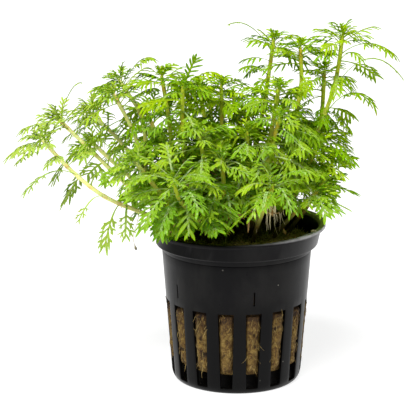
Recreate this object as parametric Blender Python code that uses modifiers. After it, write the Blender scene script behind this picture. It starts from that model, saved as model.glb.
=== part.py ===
"""Potted water violet: a black net pot, its rock wool plug, and the leafy shoots that stand in it.

Metres, +Z up. The origin is the centre of the pot's flat underside, and -Y is the side that faces the
viewer.
"""

import bpy
import bmesh
import numpy as np
from mathutils import Matrix, Vector
from mathutils.geometry import interpolate_bezier

MM = 0.001

# Net pot. It is round, with a collar under the lip and sixteen slots in the lower half.
POT_HEIGHT = 50.5 * MM
LIP_RADIUS = 27.5 * MM
LIP_THICK = 1.0 * MM
COLLAR_RADIUS = 26.1 * MM
COLLAR_DEPTH = 6.0 * MM
WALL_TOP_RADIUS = 24.1 * MM
WALL_FOOT_RADIUS = 21.0 * MM
FOOT_ROUND = 4.0 * MM
FOOT_RADIUS = 19.0 * MM
WALL = 1.0 * MM
FLOOR = 1.2 * MM
POT_STEPS = 32
SLOTS = 16
SLOT_PITCH = 2 * np.pi / SLOTS
SLOT_PHASE = np.radians(-9.4)
SLOT_BOTTOM = 1.8 * MM
SLOT_TOP = 27.0 * MM
SLOT_WIDTH_TOP = 5.1 * MM
SLOT_WIDTH_BOTTOM = 3.8 * MM
SLOT_CUT = 9.0 * MM
SLITS = 5
SLOTS_PER_SLIT = 3
FIRST_SLIT = -2
SLIT_SIZE = (0.5 * MM, 6.0 * MM, 4.5 * MM)
SLIT_MIDDLE = 32.0 * MM
LIP_TILT = np.radians(2.2)
LIP_SHIFT = 1.0 * MM

# Rock wool plug. It is a little proud in each slot and torn away at the right rear.
WOOL_TOP = 48.8 * MM
WOOL_BOTTOM = 6.0 * MM
WOOL_GAP = 0.35 * MM
WOOL_STEPS = 48
RIDGE_TOP = 25.8 * MM
RIDGE_BOTTOM = 9.5 * MM
RIDGE_PROUD_TOP = 1.0 * MM
RIDGE_PROUD_BOTTOM = 0.6 * MM
HOLLOW_ANGLE = np.radians(42)
HOLLOW_WIDTH = np.radians(24)
HOLLOW_DEPTH = 4.5 * MM

# Stems and leaves
REST_GAP = 0.3 * MM
STEM_STEP = 13.0 * MM
CURVE_SAMPLES = 13
STEM_RADIUS = 0.75 * MM
STEM_TIP_RADIUS = 0.55 * MM
STEM_SHIFTS = (0, 1.5, -1.5, 3, -3, 4.5, -4.5)
LOWEST_LEAF = 6.0 * MM
PETIOLE_HALF_WIDTH = 0.38 * MM
BLADE_START = 0.34
KEEL = 0.5 * MM
BLADE_WIDTH = 0.17
LONG_LEAF = 20.0 * MM
SHORT_LEAF = 15.0 * MM
CROWN_LEAF = 0.55
LEAF_GAIN = 0.15
GOLDEN_ANGLE = np.radians(137.5)
FIRST_LEAF = 0.8 * MM
LEAF_SPACING = 2.1 * MM
SPACING_GROWTH = 1.24
SHOOT_TURN = 2.4
LYING_TILT = 24
UPRIGHT_TILT = 54
TILT_GAIN = 12
MOST_TILT = 88
MOST_ROLL = np.radians(38)
SHORTER = (1, 0.84, 0.7)
STEEPER = (0, -16, 14, -30)
ASIDE = (0, 22, -22, 45, -45, 68, -68, 95, -95)
TIP_NUDGES = [(0, 0, 0), (0, -2, 0), (0, 2, 0), (0, -4, 1), (0, 4, -1), (1, -3, 2), (-1, -3, -2)]
SAMPLE = 0.7 * MM
CELL = 1.0 * MM
GRID_LOW = np.array([-95.0, -70.0, 35.0]) * MM
GRID_CELLS = (170, 150, 95)

# The hem of the bush, in millimetres: the lowest that leaves hang there, seen from the front and a little
# above. It leaves the front of the plug in view.
HEM_VIEW = np.radians(13.75)
HEM = [(-75, 37), (-40, 43), (-28, 46), (-12, 46.5), (-3, 49), (1, 53.5), (8, 56), (13, 53), (17, 55), (23, 53),
       (30, 53), (33, 59), (37, 69), (60, 82)]

# Leaf outlines: shares of the length, and of the blade's half width there. The petiole is 0, and past the
# last section a leaf runs to a point. A long leaf has two pairs of forward teeth and a young one is a kite.
TOOTHED_LEAF = [(0, 0), (BLADE_START, 0), (0.58, 1), (0.63, 0.35), (0.84, 0.75)]
PLAIN_LEAF = [(0, 0), (BLADE_START, 0), (0.72, 1)]
YOUNG_LEAF = [(0, 0), (0.68, 1)]

# One row a shoot, in millimetres: where its stem leaves the wool, the points that it bends through, its
# crown, how many leaves grow by rule and how long the longest is. Each reach is a leaf that was drawn out on
# purpose: how far up the stem it grows, as a share, the place of its tip, and how high it arches.
SHOOTS = [
    # Left side, leaning out over the rim
    dict(foot=(-17, -2), bends=[(-35, -6, 58), (-44, -5, 62), (-52, -5, 69), (-59, -5, 75)],
         crown=(-62, -5, 80), leaves=6, length=12,
         reach=[(0.93, (-72, -8, 74), 2), (0.7, (-67, -12, 63), 4), (0.5, (-50, -12, 54), 3),
                (0.4, (-42, -10, 45), 3), (0.36, (-35, -17, 50), 3), (0.6, (-41, -13, 67), 4),
                (0.85, (-60, -9, 71), 1), (0.97, (-58, -4, 84), 2)]),
    dict(foot=(-13, 1), bends=[(-28, 0, 57), (-39, 3, 66), (-49, 7, 75)], crown=(-58, 8, 84),
         leaves=6, length=13,
         reach=[(0.97, (-50, 8, 95), 3), (0.9, (-69, 6, 80), 2), (0.94, (-61, 6, 87), 1),
                (0.72, (-49, 0, 71), 4), (0.6, (-38, -1, 71), 4), (0.78, (-43, 2, 77), 2)]),
    dict(foot=(-15, 6), bends=[(-28, 7, 59), (-37, 10, 66)], crown=(-47, 12, 75), leaves=6, length=13,
         reach=[]),
    dict(foot=(-11, 10), bends=[(-27, 12, 62), (-37, 14, 74)], crown=(-48, 17, 84), leaves=7, length=14,
         reach=[]),
    dict(foot=(-9, 5), bends=[(-23, 6, 60), (-30, 8, 75), (-31, 9, 86)], crown=(-38, 10, 96),
         leaves=7, length=14,
         reach=[(0.95, (-27, 8, 103), 3)]),
    dict(foot=(-14, -6), bends=[(-26, -4, 63), (-32, -1, 79)], crown=(-39, 0, 93), leaves=7, length=14,
         reach=[]),
    dict(foot=(-12, -11), bends=[(-21, -14, 60)], crown=(-32, -17, 75), leaves=7, length=16,
         reach=[(0.9, (-38, -22, 73), 2), (0.8, (-35, -26, 66), 3)]),
    # Middle
    dict(foot=(-7, 0), bends=[(-18, 4, 62), (-21, 5, 80)], crown=(-24, 6, 98), leaves=8, length=16,
         reach=[(0.85, (-33, 3, 91), 2)]),
    dict(foot=(-9, -5), bends=[(-15, -8, 64), (-17, -6, 80)], crown=(-17, -5, 97), leaves=6, length=16,
         reach=[(0.95, (-13, -5, 105), 1), (0.93, (-6, -4, 100), 3)]),
    dict(foot=(-4, 4), bends=[(-7, 2, 61), (-5, 4, 80)], crown=(-5, 5, 95), leaves=7, length=17, reach=[]),
    dict(foot=(-1, 11), bends=[(0, 14, 60), (2, 18, 72)], crown=(-1, 20, 88), leaves=7, length=15,
         reach=[]),
    dict(foot=(-7, -10), bends=[(-9, -14, 65)], crown=(-12, -16, 84), leaves=7, length=17, reach=[]),
    dict(foot=(0, -4), bends=[(3, -8, 64)], crown=(3, -10, 83), leaves=7, length=16, reach=[]),
    dict(foot=(-2, -13), bends=[(-5, -17, 62), (-4, -18, 70)], crown=(-5, -19, 77), leaves=4, length=17,
         reach=[(0.9, (6, -26, 68), 4), (0.8, (-15, -27, 71), 3), (0.6, (-2, -29, 58), 4),
                (0.5, (-8, -27, 56), 4), (0.93, (-10, -20, 82), 1)]),
    dict(foot=(-9, -15), bends=[(-13, -20, 58), (-18, -26, 65)], crown=(-20, -31, 73), leaves=4, length=18,
         reach=[(0.93, (-33, -33, 72), 2), (0.74, (-29, -37, 58), 4), (0.7, (-12, -42, 65), 4),
                (0.92, (-9, -38, 74), 2), (0.8, (-6, -36, 70), 3), (0.96, (-14, -29, 79), 1),
                (0.97, (-22, -26, 82), 1), (0.95, (-30, -28, 79), 1), (0.55, (-15, -33, 55), 4),
                (0.62, (-24, -36, 56), 4)]),
    # Right side, with the three tall shoots
    dict(foot=(2, 6), bends=[(5, 9, 66), (9, 13, 88)], crown=(12, 15, 108), leaves=6, length=14,
         reach=[(0.93, (-3, 12, 113), 4), (0.88, (2, 10, 102), 1), (0.95, (20, 13, 109), 2),
                (0.8, (3, 8, 102), 2)]),
    dict(foot=(5, 1), bends=[(9, 0, 60), (15, 2, 74), (20, 4, 92)], crown=(20, 5, 107),
         leaves=8, length=14, reach=[]),
    dict(foot=(10, 1), bends=[(14, 2, 60), (22, 2, 73), (30, 0, 93)], crown=(33, 0, 112),
         leaves=5, length=15,
         reach=[(0.95, (43, 2, 114), 1), (0.9, (50, -2, 105), 4), (0.72, (52, -6, 98), 9),
                (0.6, (43, -8, 90), 6), (0.95, (25, 3, 113), 1), (0.86, (38, -6, 105), 3),
                (0.75, (36, -5, 95), 3), (0.97, (30, -3, 116), 1)]),
    dict(foot=(12, 6), bends=[(17, 8, 60), (26, 10, 74)], crown=(28, 10, 99), leaves=8, length=14,
         reach=[]),
    dict(foot=(5, -4), bends=[(7, -8, 64), (10, -6, 78)], crown=(13, -5, 96), leaves=7, length=16,
         reach=[]),
    dict(foot=(4, -9), bends=[(6, -13, 62), (10, -13, 76)], crown=(13, -13, 88), leaves=6, length=16,
         reach=[]),
    dict(foot=(5, -15), bends=[(7, -20, 58), (9, -24, 64)], crown=(11, -29, 71), leaves=4, length=15,
         reach=[(0.93, (20, -33, 75), 2), (0.84, (16, -36, 63), 4), (0.78, (8, -42, 68), 3),
                (0.7, (4, -34, 61), 4), (0.9, (1, -33, 69), 2), (0.96, (6, -27, 77), 1),
                (0.97, (16, -27, 79), 1)]),
    dict(foot=(11, -4), bends=[(16, -4, 60)], crown=(25, -6, 76), leaves=4, length=15,
         reach=[(0.93, (36, -8, 73), 3), (0.97, (29, -5, 81), 1), (0.9, (18, -12, 79), 2),
                (0.8, (19, -16, 71), 3), (0.75, (28, -12, 69), 3)]),
    dict(foot=(12, -9), bends=[(18, -11, 57)], crown=(25, -15, 65), leaves=4, length=14,
         reach=[(0.93, (30, -16, 63), 2), (0.76, (27, -23, 59), 4), (0.9, (18, -21, 70), 1),
                (0.96, (28, -13, 70), 1)]),
    dict(foot=(16, 3), bends=[(19, 5, 60)], crown=(28, 5, 79), leaves=7, length=14,
         reach=[(0.95, (34, 3, 80), 2)]),
    dict(foot=(17, -2), bends=[(22, -1, 56)], crown=(28, -4, 67), leaves=6, length=12,
         reach=[(0.92, (35, -4, 70), 2), (0.84, (32, -8, 68), 2)]),
    # Back
    dict(foot=(-8, 14), bends=[(-19, 20, 62)], crown=(-30, 30, 82), leaves=7, length=17, reach=[]),
    dict(foot=(-2, 16), bends=[(-5, 25, 62)], crown=(-9, 37, 84), leaves=7, length=17, reach=[]),
    dict(foot=(4, 14), bends=[(11, 24, 62)], crown=(16, 35, 82), leaves=7, length=17, reach=[]),
    dict(foot=(9, 11), bends=[(21, 18, 60)], crown=(28, 26, 76), leaves=7, length=16, reach=[]),
    dict(foot=(-6, 9), bends=[(-8, 15, 66)], crown=(-12, 20, 92), leaves=6, length=16, reach=[]),
]


def collection(name):
    made = bpy.data.collections.new(name)
    bpy.context.scene.collection.children.link(made)
    return made


def material(name, colour, roughness):
    made = bpy.data.materials.new(name)
    made.use_nodes = True
    shader = made.node_tree.nodes["Principled BSDF"]
    shader.inputs["Base Color"].default_value = (*colour, 1.0)
    shader.inputs["Roughness"].default_value = roughness
    shader.inputs["Metallic"].default_value = 0.0
    return made


def add_object(name, mesh, group, finish=None):
    obj = bpy.data.objects.new(name, mesh)
    group.objects.link(obj)
    if finish:
        mesh.materials.append(finish)
    return obj


def add_cutter(name, mesh, group):
    cutter = add_object(name, mesh, group)
    cutter.hide_render = True
    cutter.display_type = "WIRE"
    return cutter


def solid_mesh(obj):
    """The object's evaluated mesh with its seams welded. The object itself is removed."""
    graph = bpy.context.evaluated_depsgraph_get()
    mesh = bpy.data.meshes.new_from_object(obj.evaluated_get(graph))
    bpy.data.objects.remove(obj)
    work = bmesh.new()
    work.from_mesh(mesh)
    bmesh.ops.remove_doubles(work, verts=work.verts, dist=1e-6)
    work.to_mesh(mesh)
    work.free()
    return mesh


def turned(profile, steps, group):
    """The solid that a profile of (radius, height) points sweeps round the Z axis."""
    mesh = bpy.data.meshes.new("profile")
    mesh.from_pydata([(r, 0, z) for r, z in profile], [(i, i + 1) for i in range(len(profile) - 1)], [])
    obj = add_object("profile", mesh, group)
    screw = obj.modifiers.new("Turn", "SCREW")
    screw.steps = screw.render_steps = steps
    screw.use_merge_vertices = True
    screw.merge_threshold = 0.00001
    return solid_mesh(obj)


def move_points(mesh, rule):
    """Sends every point of the mesh through rule, an array of points in and out."""
    points = np.empty(len(mesh.vertices) * 3)
    mesh.vertices.foreach_get("co", points)
    mesh.vertices.foreach_set("co", rule(points.reshape(-1, 3)).ravel())
    mesh.update()


def smoothstep(low, high, value):
    share = np.clip((value - low) / (high - low), 0, 1)
    return share * share * (3 - 2 * share)


def inner_radius(z):
    """The pot's inside radius at a height below the collar."""
    share = (z - FLOOR) / (POT_HEIGHT - COLLAR_DEPTH - FLOOR)
    low = WALL_FOOT_RADIUS - 1.6 * WALL
    return low + share * (WALL_TOP_RADIUS - WALL - low)


def slot_angle(number):
    """Where a slot is, as an angle from the side that faces the viewer, to the right."""
    return SLOT_PHASE + number * SLOT_PITCH


def facing(angle):
    """Turns a piece that faces -Y to face the given angle."""
    return Matrix.Rotation(angle, 4, "Z")


def pressed_rim(points):
    """The lip sits a little crooked on the collar, as it does on a squeezed plastic pot."""
    ramp = smoothstep(POT_HEIGHT - COLLAR_DEPTH, POT_HEIGHT - LIP_THICK, points[:, 2])
    moved = points.copy()
    moved[:, 2] += ramp * points[:, 0] * np.tan(LIP_TILT)
    moved[:, 0] += ramp * LIP_SHIFT
    return moved


def slot_cutter(angle, group):
    """A box across the wall, narrower at its foot."""
    middle = WALL_FOOT_RADIUS + 0.5 * MM
    work = bmesh.new()
    bmesh.ops.create_cube(work, size=1.0)
    for point in work.verts:
        upper = point.co.z > 0
        width = SLOT_WIDTH_TOP if upper else SLOT_WIDTH_BOTTOM
        point.co = (point.co.x * width, point.co.y * SLOT_CUT - middle, SLOT_TOP if upper else SLOT_BOTTOM)
    mesh = bpy.data.meshes.new("slot cutter")
    work.to_mesh(mesh)
    work.free()
    cutter = add_cutter("slot_cutter", mesh, group)
    cutter.matrix_world = facing(angle)


def slit_cutter(angle, group):
    """The thin hanging slit above every third slot."""
    work = bmesh.new()
    middle = Matrix.Translation((0, -WALL_TOP_RADIUS + WALL, SLIT_MIDDLE))
    bmesh.ops.create_cube(work, size=1.0, matrix=middle @ Matrix.Diagonal((*SLIT_SIZE, 1)))
    mesh = bpy.data.meshes.new("slit cutter")
    work.to_mesh(mesh)
    work.free()
    cutter = add_cutter("slit_cutter", mesh, group)
    cutter.matrix_world = facing(angle)


def make_pot(group, helpers):
    collar_foot = POT_HEIGHT - COLLAR_DEPTH
    lip_under = POT_HEIGHT - LIP_THICK
    profile = [
        (0, FLOOR),
        (inner_radius(FLOOR), FLOOR),
        (inner_radius(collar_foot), collar_foot),
        (COLLAR_RADIUS - 1.2 * WALL, collar_foot + 1.1 * WALL),
        (COLLAR_RADIUS - WALL, POT_HEIGHT),
        (LIP_RADIUS, POT_HEIGHT),
        (LIP_RADIUS, lip_under),
        (COLLAR_RADIUS, lip_under - 0.3 * MM),
        (COLLAR_RADIUS - 0.2 * MM, collar_foot + 0.3 * MM),
        (WALL_TOP_RADIUS, collar_foot - 0.1 * MM),
        (WALL_FOOT_RADIUS, FOOT_ROUND),
        (FOOT_RADIUS, 0),
        (0, 0),
    ]
    mesh = turned(profile, POT_STEPS, helpers)
    move_points(mesh, pressed_rim)
    mesh.shade_smooth()
    mesh.set_sharp_from_angle(angle=np.radians(30))
    pot = add_object("net_pot", mesh, group, material("pot plastic", (0.018, 0.017, 0.018), 0.42))
    cutters = bpy.data.collections.new("slot cutters")
    helpers.children.link(cutters)
    for slot in range(SLOTS):
        slot_cutter(slot_angle(slot), cutters)
    for slit in range(SLITS):
        slit_cutter(slot_angle(FIRST_SLIT + slit * SLOTS_PER_SLIT), cutters)
    cut = pot.modifiers.new("Slots", "BOOLEAN")
    cut.operand_type = "COLLECTION"
    cut.collection = cutters
    cut.solver = "EXACT"


def packed_wool(points):
    """Presses the turned plug out into the slots and tears it away from the wall at the right rear."""
    x, y, z = points.T
    radius = np.hypot(x, y)
    angle = np.arctan2(y, x)
    from_front = np.arctan2(x, -y) - SLOT_PHASE
    off_slot = np.abs((from_front + SLOT_PITCH / 2) % SLOT_PITCH - SLOT_PITCH / 2)
    in_ridge = (off_slot < np.radians(1)) & (z > RIDGE_BOTTOM - MM / 2) & (z < RIDGE_TOP + MM / 2)
    share = (z - RIDGE_BOTTOM) / (RIDGE_TOP - RIDGE_BOTTOM)
    proud = RIDGE_PROUD_BOTTOM + share * (RIDGE_PROUD_TOP - RIDGE_PROUD_BOTTOM)
    turn = (angle - HOLLOW_ANGLE + np.pi) % (2 * np.pi) - np.pi
    torn = HOLLOW_DEPTH * np.exp(-((turn / HOLLOW_WIDTH) ** 2)) * (z > RIDGE_TOP + 3 * MM)
    wanted = radius + np.where(in_ridge, proud, 0) - np.where(radius > MM, torn, 0)
    scale = np.divide(wanted, radius, out=np.ones_like(radius), where=radius > MM)
    return np.stack([x * scale, y * scale, z], axis=1)


def make_wool(group, helpers):
    shoulder = WOOL_TOP - 3.0 * MM
    profile = [(0, WOOL_TOP), (inner_radius(shoulder) - WOOL_GAP - MM, WOOL_TOP)]
    for z in (shoulder, RIDGE_TOP + MM, RIDGE_TOP, RIDGE_BOTTOM):
        profile.append((inner_radius(z) - WOOL_GAP, z))
    profile += [(inner_radius(WOOL_BOTTOM) - WOOL_GAP - MM, WOOL_BOTTOM), (0, WOOL_BOTTOM)]
    mesh = turned(profile, WOOL_STEPS, helpers)
    to_first_slot = Matrix.Rotation(SLOT_PHASE - np.pi / 2, 4, "Z")
    mesh.transform(to_first_slot)
    move_points(mesh, packed_wool)
    add_object("rock_wool", mesh, group, material("rock wool", (0.26, 0.16, 0.05), 0.95))


def route_through(points, step):
    """A smooth route through the points, with a point at about every step of its length."""
    points = [np.array(p, float) for p in points]
    ends = [2 * points[0] - points[1], *points, 2 * points[-1] - points[-2]]
    curve = [points[0]]
    for before, start, end, after in zip(ends, ends[1:], ends[2:], ends[3:]):
        handles = (Vector(start + (end - before) / 6), Vector(end - (after - start) / 6))
        stretch = interpolate_bezier(Vector(start), *handles, Vector(end), CURVE_SAMPLES)
        curve += [np.array(p) for p in stretch[1:]]
    curve = np.array(curve)
    run = np.concatenate([[0], np.cumsum(np.linalg.norm(np.diff(curve, axis=0), axis=1))])
    count = max(4, round(run[-1] / step) + 1)
    even = np.linspace(0, run[-1], count)
    return np.stack([np.interp(even, run, curve[:, i]) for i in range(3)], axis=1)


def along(route, distance):
    """The point at this distance from the route's start, and the direction there."""
    run = np.concatenate([[0], np.cumsum(np.linalg.norm(np.diff(route, axis=0), axis=1))])
    point = np.array([np.interp(distance, run, route[:, i]) for i in range(3)])
    piece = min(np.searchsorted(run, distance, side="right"), len(route) - 1)
    heading = route[piece] - route[piece - 1]
    return point, heading / np.linalg.norm(heading)


def route_length(route):
    return np.linalg.norm(np.diff(route, axis=0), axis=1).sum()


class Crowd:
    """Which cells of a fine grid each shoot fills, so that the next leaf can grow where there is room."""

    def __init__(self, shoots):
        self.count = np.zeros(GRID_CELLS, np.int16)
        self.own = np.zeros((shoots, *GRID_CELLS), bool)
        self.own_blades = np.zeros((shoots, *GRID_CELLS), bool)
        steps = np.array([-1, 0, 1])
        self.near = np.stack(np.meshgrid(steps, steps, steps), axis=-1).reshape(-1, 3)

    def cells(self, points):
        return np.floor((points - GRID_LOW) / CELL).astype(int)

    def fill(self, shoot, points, blade=None):
        wide = (self.cells(points)[:, None] + self.near).reshape(-1, 3)
        wide = tuple(np.unique(wide, axis=0).T)
        self.count[wide] += ~self.own[shoot][wide]
        self.own[shoot][wide] = True
        if blade is not None:
            wide = (self.cells(blade)[:, None] + self.near).reshape(-1, 3)
            self.own_blades[shoot][tuple(wide.T)] = True

    def clear(self, shoot, points, blade=None):
        here = tuple(self.cells(points).T)
        others = self.count[here] - self.own[shoot][here]
        if others.any():
            return False
        return blade is None or not self.own_blades[shoot][tuple(self.cells(blade).T)].any()

    def grow(self, shoot, leaf):
        """Adds the leaf where there is room for it, and says whether there was."""
        points, blade = leaf_points(leaf)
        if in_pot(blade, KEEL + REST_GAP).any() or not self.clear(shoot, points, blade):
            return False
        self.fill(shoot, points, blade)
        return True


def in_pot(points, margin):
    """True for points nearer than the margin to the pot or the plug."""
    radius = np.hypot(points[:, 0], points[:, 1])
    over_wool = radius < COLLAR_RADIUS - WALL - LIP_SHIFT - margin
    low = margin + np.where(over_wool, WOOL_TOP, POT_HEIGHT + points[:, 0] * np.tan(LIP_TILT))
    return (radius < LIP_RADIUS + LIP_SHIFT + margin) & (points[:, 2] < low)


def below_hem(points):
    """True where a leaf of these points hangs below the bush's hem."""
    x, hem = np.array(HEM).T * MM
    height = points[:, 2] * np.cos(HEM_VIEW) + points[:, 1] * np.sin(HEM_VIEW)
    return (height < np.interp(points[:, 0], x, hem)).any()


def stem_points(route):
    """Points on a stem's surface, for the crowding test."""
    distances = np.arange(0, route_length(route), SAMPLE)
    middles = np.array([along(route, d)[0] for d in distances])
    turns = np.radians([0, 90, 180, 270])
    ring = STEM_RADIUS * np.stack([np.cos(turns), np.sin(turns), 0 * turns], axis=1)
    return (middles[:, None] + ring).reshape(-1, 3)


def spine(leaf, share):
    """Points on a leaf's midrib at these shares of its length: a parabola from root to tip."""
    root, pull, tip = leaf["root"], leaf["pull"], leaf["tip"]
    share = np.asarray(share)[..., None]
    return (1 - share) ** 2 * root + 2 * share * (1 - share) * pull + share**2 * tip


def blade_frame(leaf, share):
    """The sideways and the upward direction of the blade at these shares of its length."""
    root, pull, tip = leaf["root"], leaf["pull"], leaf["tip"]
    share = np.asarray(share)[..., None]
    tangent = (1 - share) * (pull - root) + share * (tip - pull)
    tangent /= np.linalg.norm(tangent, axis=-1, keepdims=True)
    side = np.cos(leaf["roll"]) * leaf["side"] + np.sin(leaf["roll"]) * np.cross(leaf["side"], tangent)
    return side, np.cross(side, tangent)


def leaf_sections(leaf):
    """Shares of the leaf's length and the half widths there."""
    if leaf["length"] > LONG_LEAF:
        outline = TOOTHED_LEAF
    elif leaf["length"] < SHORT_LEAF:
        outline = YOUNG_LEAF
    else:
        outline = PLAIN_LEAF
    shares, widths = np.array(outline).T
    return shares, np.maximum(PETIOLE_HALF_WIDTH, widths * BLADE_WIDTH * leaf["length"])


def leaf_points(leaf):
    """Points all over a leaf, and those of them on its outer two thirds, for the crowding test."""
    shares, widths = leaf_sections(leaf)
    at = np.linspace(0, 1, int(leaf["length"] / SAMPLE) + 2)
    half = np.interp(at, [*shares, 1], [*widths, 0])
    side, _ = blade_frame(leaf, at)
    across = np.linspace(-1, 1, 7)[None, :, None]
    points = spine(leaf, at)[:, None] + across * (half[:, None] * side)[:, None]
    return points.reshape(-1, 3), points[at > BLADE_START].reshape(-1, 3)


def new_leaf(root, pull, tip, axis, roll):
    """A leaf bends in one plane, and its upper side faces along its stem but for a little roll."""
    side = np.cross(pull - root, tip - pull)
    side /= np.linalg.norm(side)
    if np.cross(side, tip - root) @ (axis + [0, 0, 0.5]) < 0:
        side = -side
    return dict(root=root, pull=pull, tip=tip, side=side, roll=roll, length=np.linalg.norm(tip - root))


def leaf_toward(root, axis, heading, length, droop, roll):
    """A leaf that starts along heading and sinks by droop of its length at the tip."""
    fall = np.array([0, 0, droop * length])
    return new_leaf(root, root + heading * length / 2, root + heading * length - fall, axis, roll)


def leaf_to(root, axis, tip, arch):
    """A leaf whose tip is given."""
    return new_leaf(root, (root + tip) / 2 + np.array([0, 0, 2 * arch]), tip, axis, 0)


def side_direction(axis, turn):
    """The direction across the stem at this turn round it."""
    across = np.cross(axis, [0.31, 0.95, 0.05])
    across /= np.linalg.norm(across)
    return np.cos(turn) * across + np.sin(turn) * np.cross(axis, across)


def leaf_choices(route, shoot, number, rank):
    """The leaf that grows here by rule, and then its likeliest changes where there is no room."""
    from_crown = FIRST_LEAF + LEAF_SPACING * (SPACING_GROWTH**rank - 1) / (SPACING_GROWTH - 1)
    root, axis = along(route, max(route_length(route) - from_crown, LOWEST_LEAF))
    length = shoot["length"] * MM * min(1, CROWN_LEAF + LEAF_GAIN * rank)
    tilt = LYING_TILT + (UPRIGHT_TILT - LYING_TILT) * axis[2] ** 4
    tilt = min(tilt + TILT_GAIN * rank, MOST_TILT)
    turn = GOLDEN_ANGLE * rank + SHOOT_TURN * number
    roll = MOST_ROLL * np.sin(2.3 * number + 4.1 * rank)
    for shorter in SHORTER:
        for steeper in STEEPER:
            for aside in ASIDE:
                lean = np.radians(tilt + steeper)
                across = side_direction(axis, turn + np.radians(aside))
                heading = np.cos(lean) * axis + np.sin(lean) * across
                droop = 0.14 + 0.2 * np.sin(lean)
                yield leaf_toward(root, axis, heading, shorter * length, droop, roll)


def plan_shoots():
    """Every stem's route and every leaf, each where it touches no other shoot, nor the pot, nor the plug."""
    crowd = Crowd(len(SHOOTS))
    routes = []
    for number, shoot in enumerate(SHOOTS):
        foot = (*shoot["foot"], (WOOL_TOP + REST_GAP) / MM)
        for shift in STEM_SHIFTS:
            bends = [(x, y + shift, z) for x, y, z in shoot["bends"]]
            route = route_through([foot, *bends, shoot["crown"]], STEM_STEP / MM) * MM
            points = stem_points(route)
            if crowd.clear(number, points) and not in_pot(points, REST_GAP / 2).any():
                break
        else:
            print("no room for stem", number + 1)
        crowd.fill(number, stem_points(route))
        routes.append(route)
    leaves = [[] for _ in SHOOTS]
    for number, shoot in enumerate(SHOOTS):
        for share, tip, arch in shoot["reach"]:
            root, axis = along(routes[number], share * route_length(routes[number]))
            for nudge in TIP_NUDGES:
                leaf = leaf_to(root, axis, (np.array(tip) + nudge) * MM, arch * MM)
                if crowd.grow(number, leaf):
                    leaves[number].append(leaf)
                    break
    for rank in range(max(shoot["leaves"] for shoot in SHOOTS)):
        for number, shoot in enumerate(SHOOTS):
            if rank >= shoot["leaves"]:
                continue
            for leaf in leaf_choices(routes[number], shoot, number, rank):
                if not below_hem(leaf_points(leaf)[1]) and crowd.grow(number, leaf):
                    leaves[number].append(leaf)
                    break
    return routes, leaves


def leaf_solid(leaf):
    """Points and faces of one leaf: three-cornered sections, flat above and keeled below, run to a point."""
    shares, widths = leaf_sections(leaf)
    middle = spine(leaf, shares)
    side, up = blade_frame(leaf, shares)
    half = widths[:, None] * side
    rings = np.stack([middle + half, middle - half, middle - KEEL * up], axis=1)
    points = [*rings.reshape(-1, 3), leaf["tip"]]
    faces = [(0, 1, 2)]
    for ring in range(len(shares) - 1):
        for edge in range(3):
            a, b = 3 * ring + edge, 3 * ring + (edge + 1) % 3
            faces.append((b, a, a + 3, b + 3))
    last = 3 * (len(shares) - 1)
    faces += [(last + (edge + 1) % 3, last + edge, len(points) - 1) for edge in range(3)]
    return points, faces


def make_leaves(name, leaves, helpers):
    points, faces = [], []
    for leaf in leaves:
        new_points, new_faces = leaf_solid(leaf)
        faces += [tuple(i + len(points) for i in face) for face in new_faces]
        points += new_points
    mesh = bpy.data.meshes.new(name)
    mesh.from_pydata(points, [], faces)
    work = bmesh.new()
    work.from_mesh(mesh)
    bmesh.ops.recalc_face_normals(work, faces=work.faces)
    bmesh.ops.triangulate(work, faces=work.faces)
    work.to_mesh(mesh)
    work.free()
    return add_cutter(name, mesh, helpers)


def make_stem(name, route, helpers):
    """A tapered tube along the route, with its ends closed and its foot cut level with the wool."""
    curve = bpy.data.curves.new(name, "CURVE")
    curve.dimensions = "3D"
    curve.bevel_depth = STEM_RADIUS
    curve.bevel_resolution = 0
    curve.use_fill_caps = True
    line = curve.splines.new("POLY")
    line.points.add(len(route) - 1)
    for share, point, place in zip(np.linspace(0, 1, len(route)), line.points, route):
        point.co = (*place, 1)
        point.radius = 1 + share * (STEM_TIP_RADIUS / STEM_RADIUS - 1)
    obj = bpy.data.objects.new(name, curve)
    helpers.objects.link(obj)
    mesh = solid_mesh(obj)
    foot = Vector(route[0])
    for point in mesh.vertices:
        if (point.co - foot).length < 1.5 * STEM_RADIUS:
            point.co.z = foot.z
    return mesh


def make_shoots(group, helpers):
    green = material("leaf", (0.14, 0.36, 0.02), 0.5)
    routes, leaves = plan_shoots()
    for number, (route, own) in enumerate(zip(routes, leaves), 1):
        mesh = make_stem(f"stem_{number:02d}", route, helpers)
        shoot = add_object(f"shoot_{number:02d}", mesh, group, green)
        join = shoot.modifiers.new("Leaves", "BOOLEAN")
        join.operation = "UNION"
        join.solver = "EXACT"
        join.use_self = True
        join.object = make_leaves(f"leaves_{number:02d}", own, helpers)


def main():
    for obj in list(bpy.data.objects):
        bpy.data.objects.remove(obj)
    group = collection("potted water violet")
    helpers = collection("cutters and guides")
    helpers.hide_render = True
    make_pot(group, helpers)
    make_wool(group, helpers)
    make_shoots(group, helpers)


main()
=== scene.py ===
# A water violet in a slotted black net pot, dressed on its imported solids.
import bpy
import numpy as np
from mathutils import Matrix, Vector
from mathutils.geometry import interpolate_bezier


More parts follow.
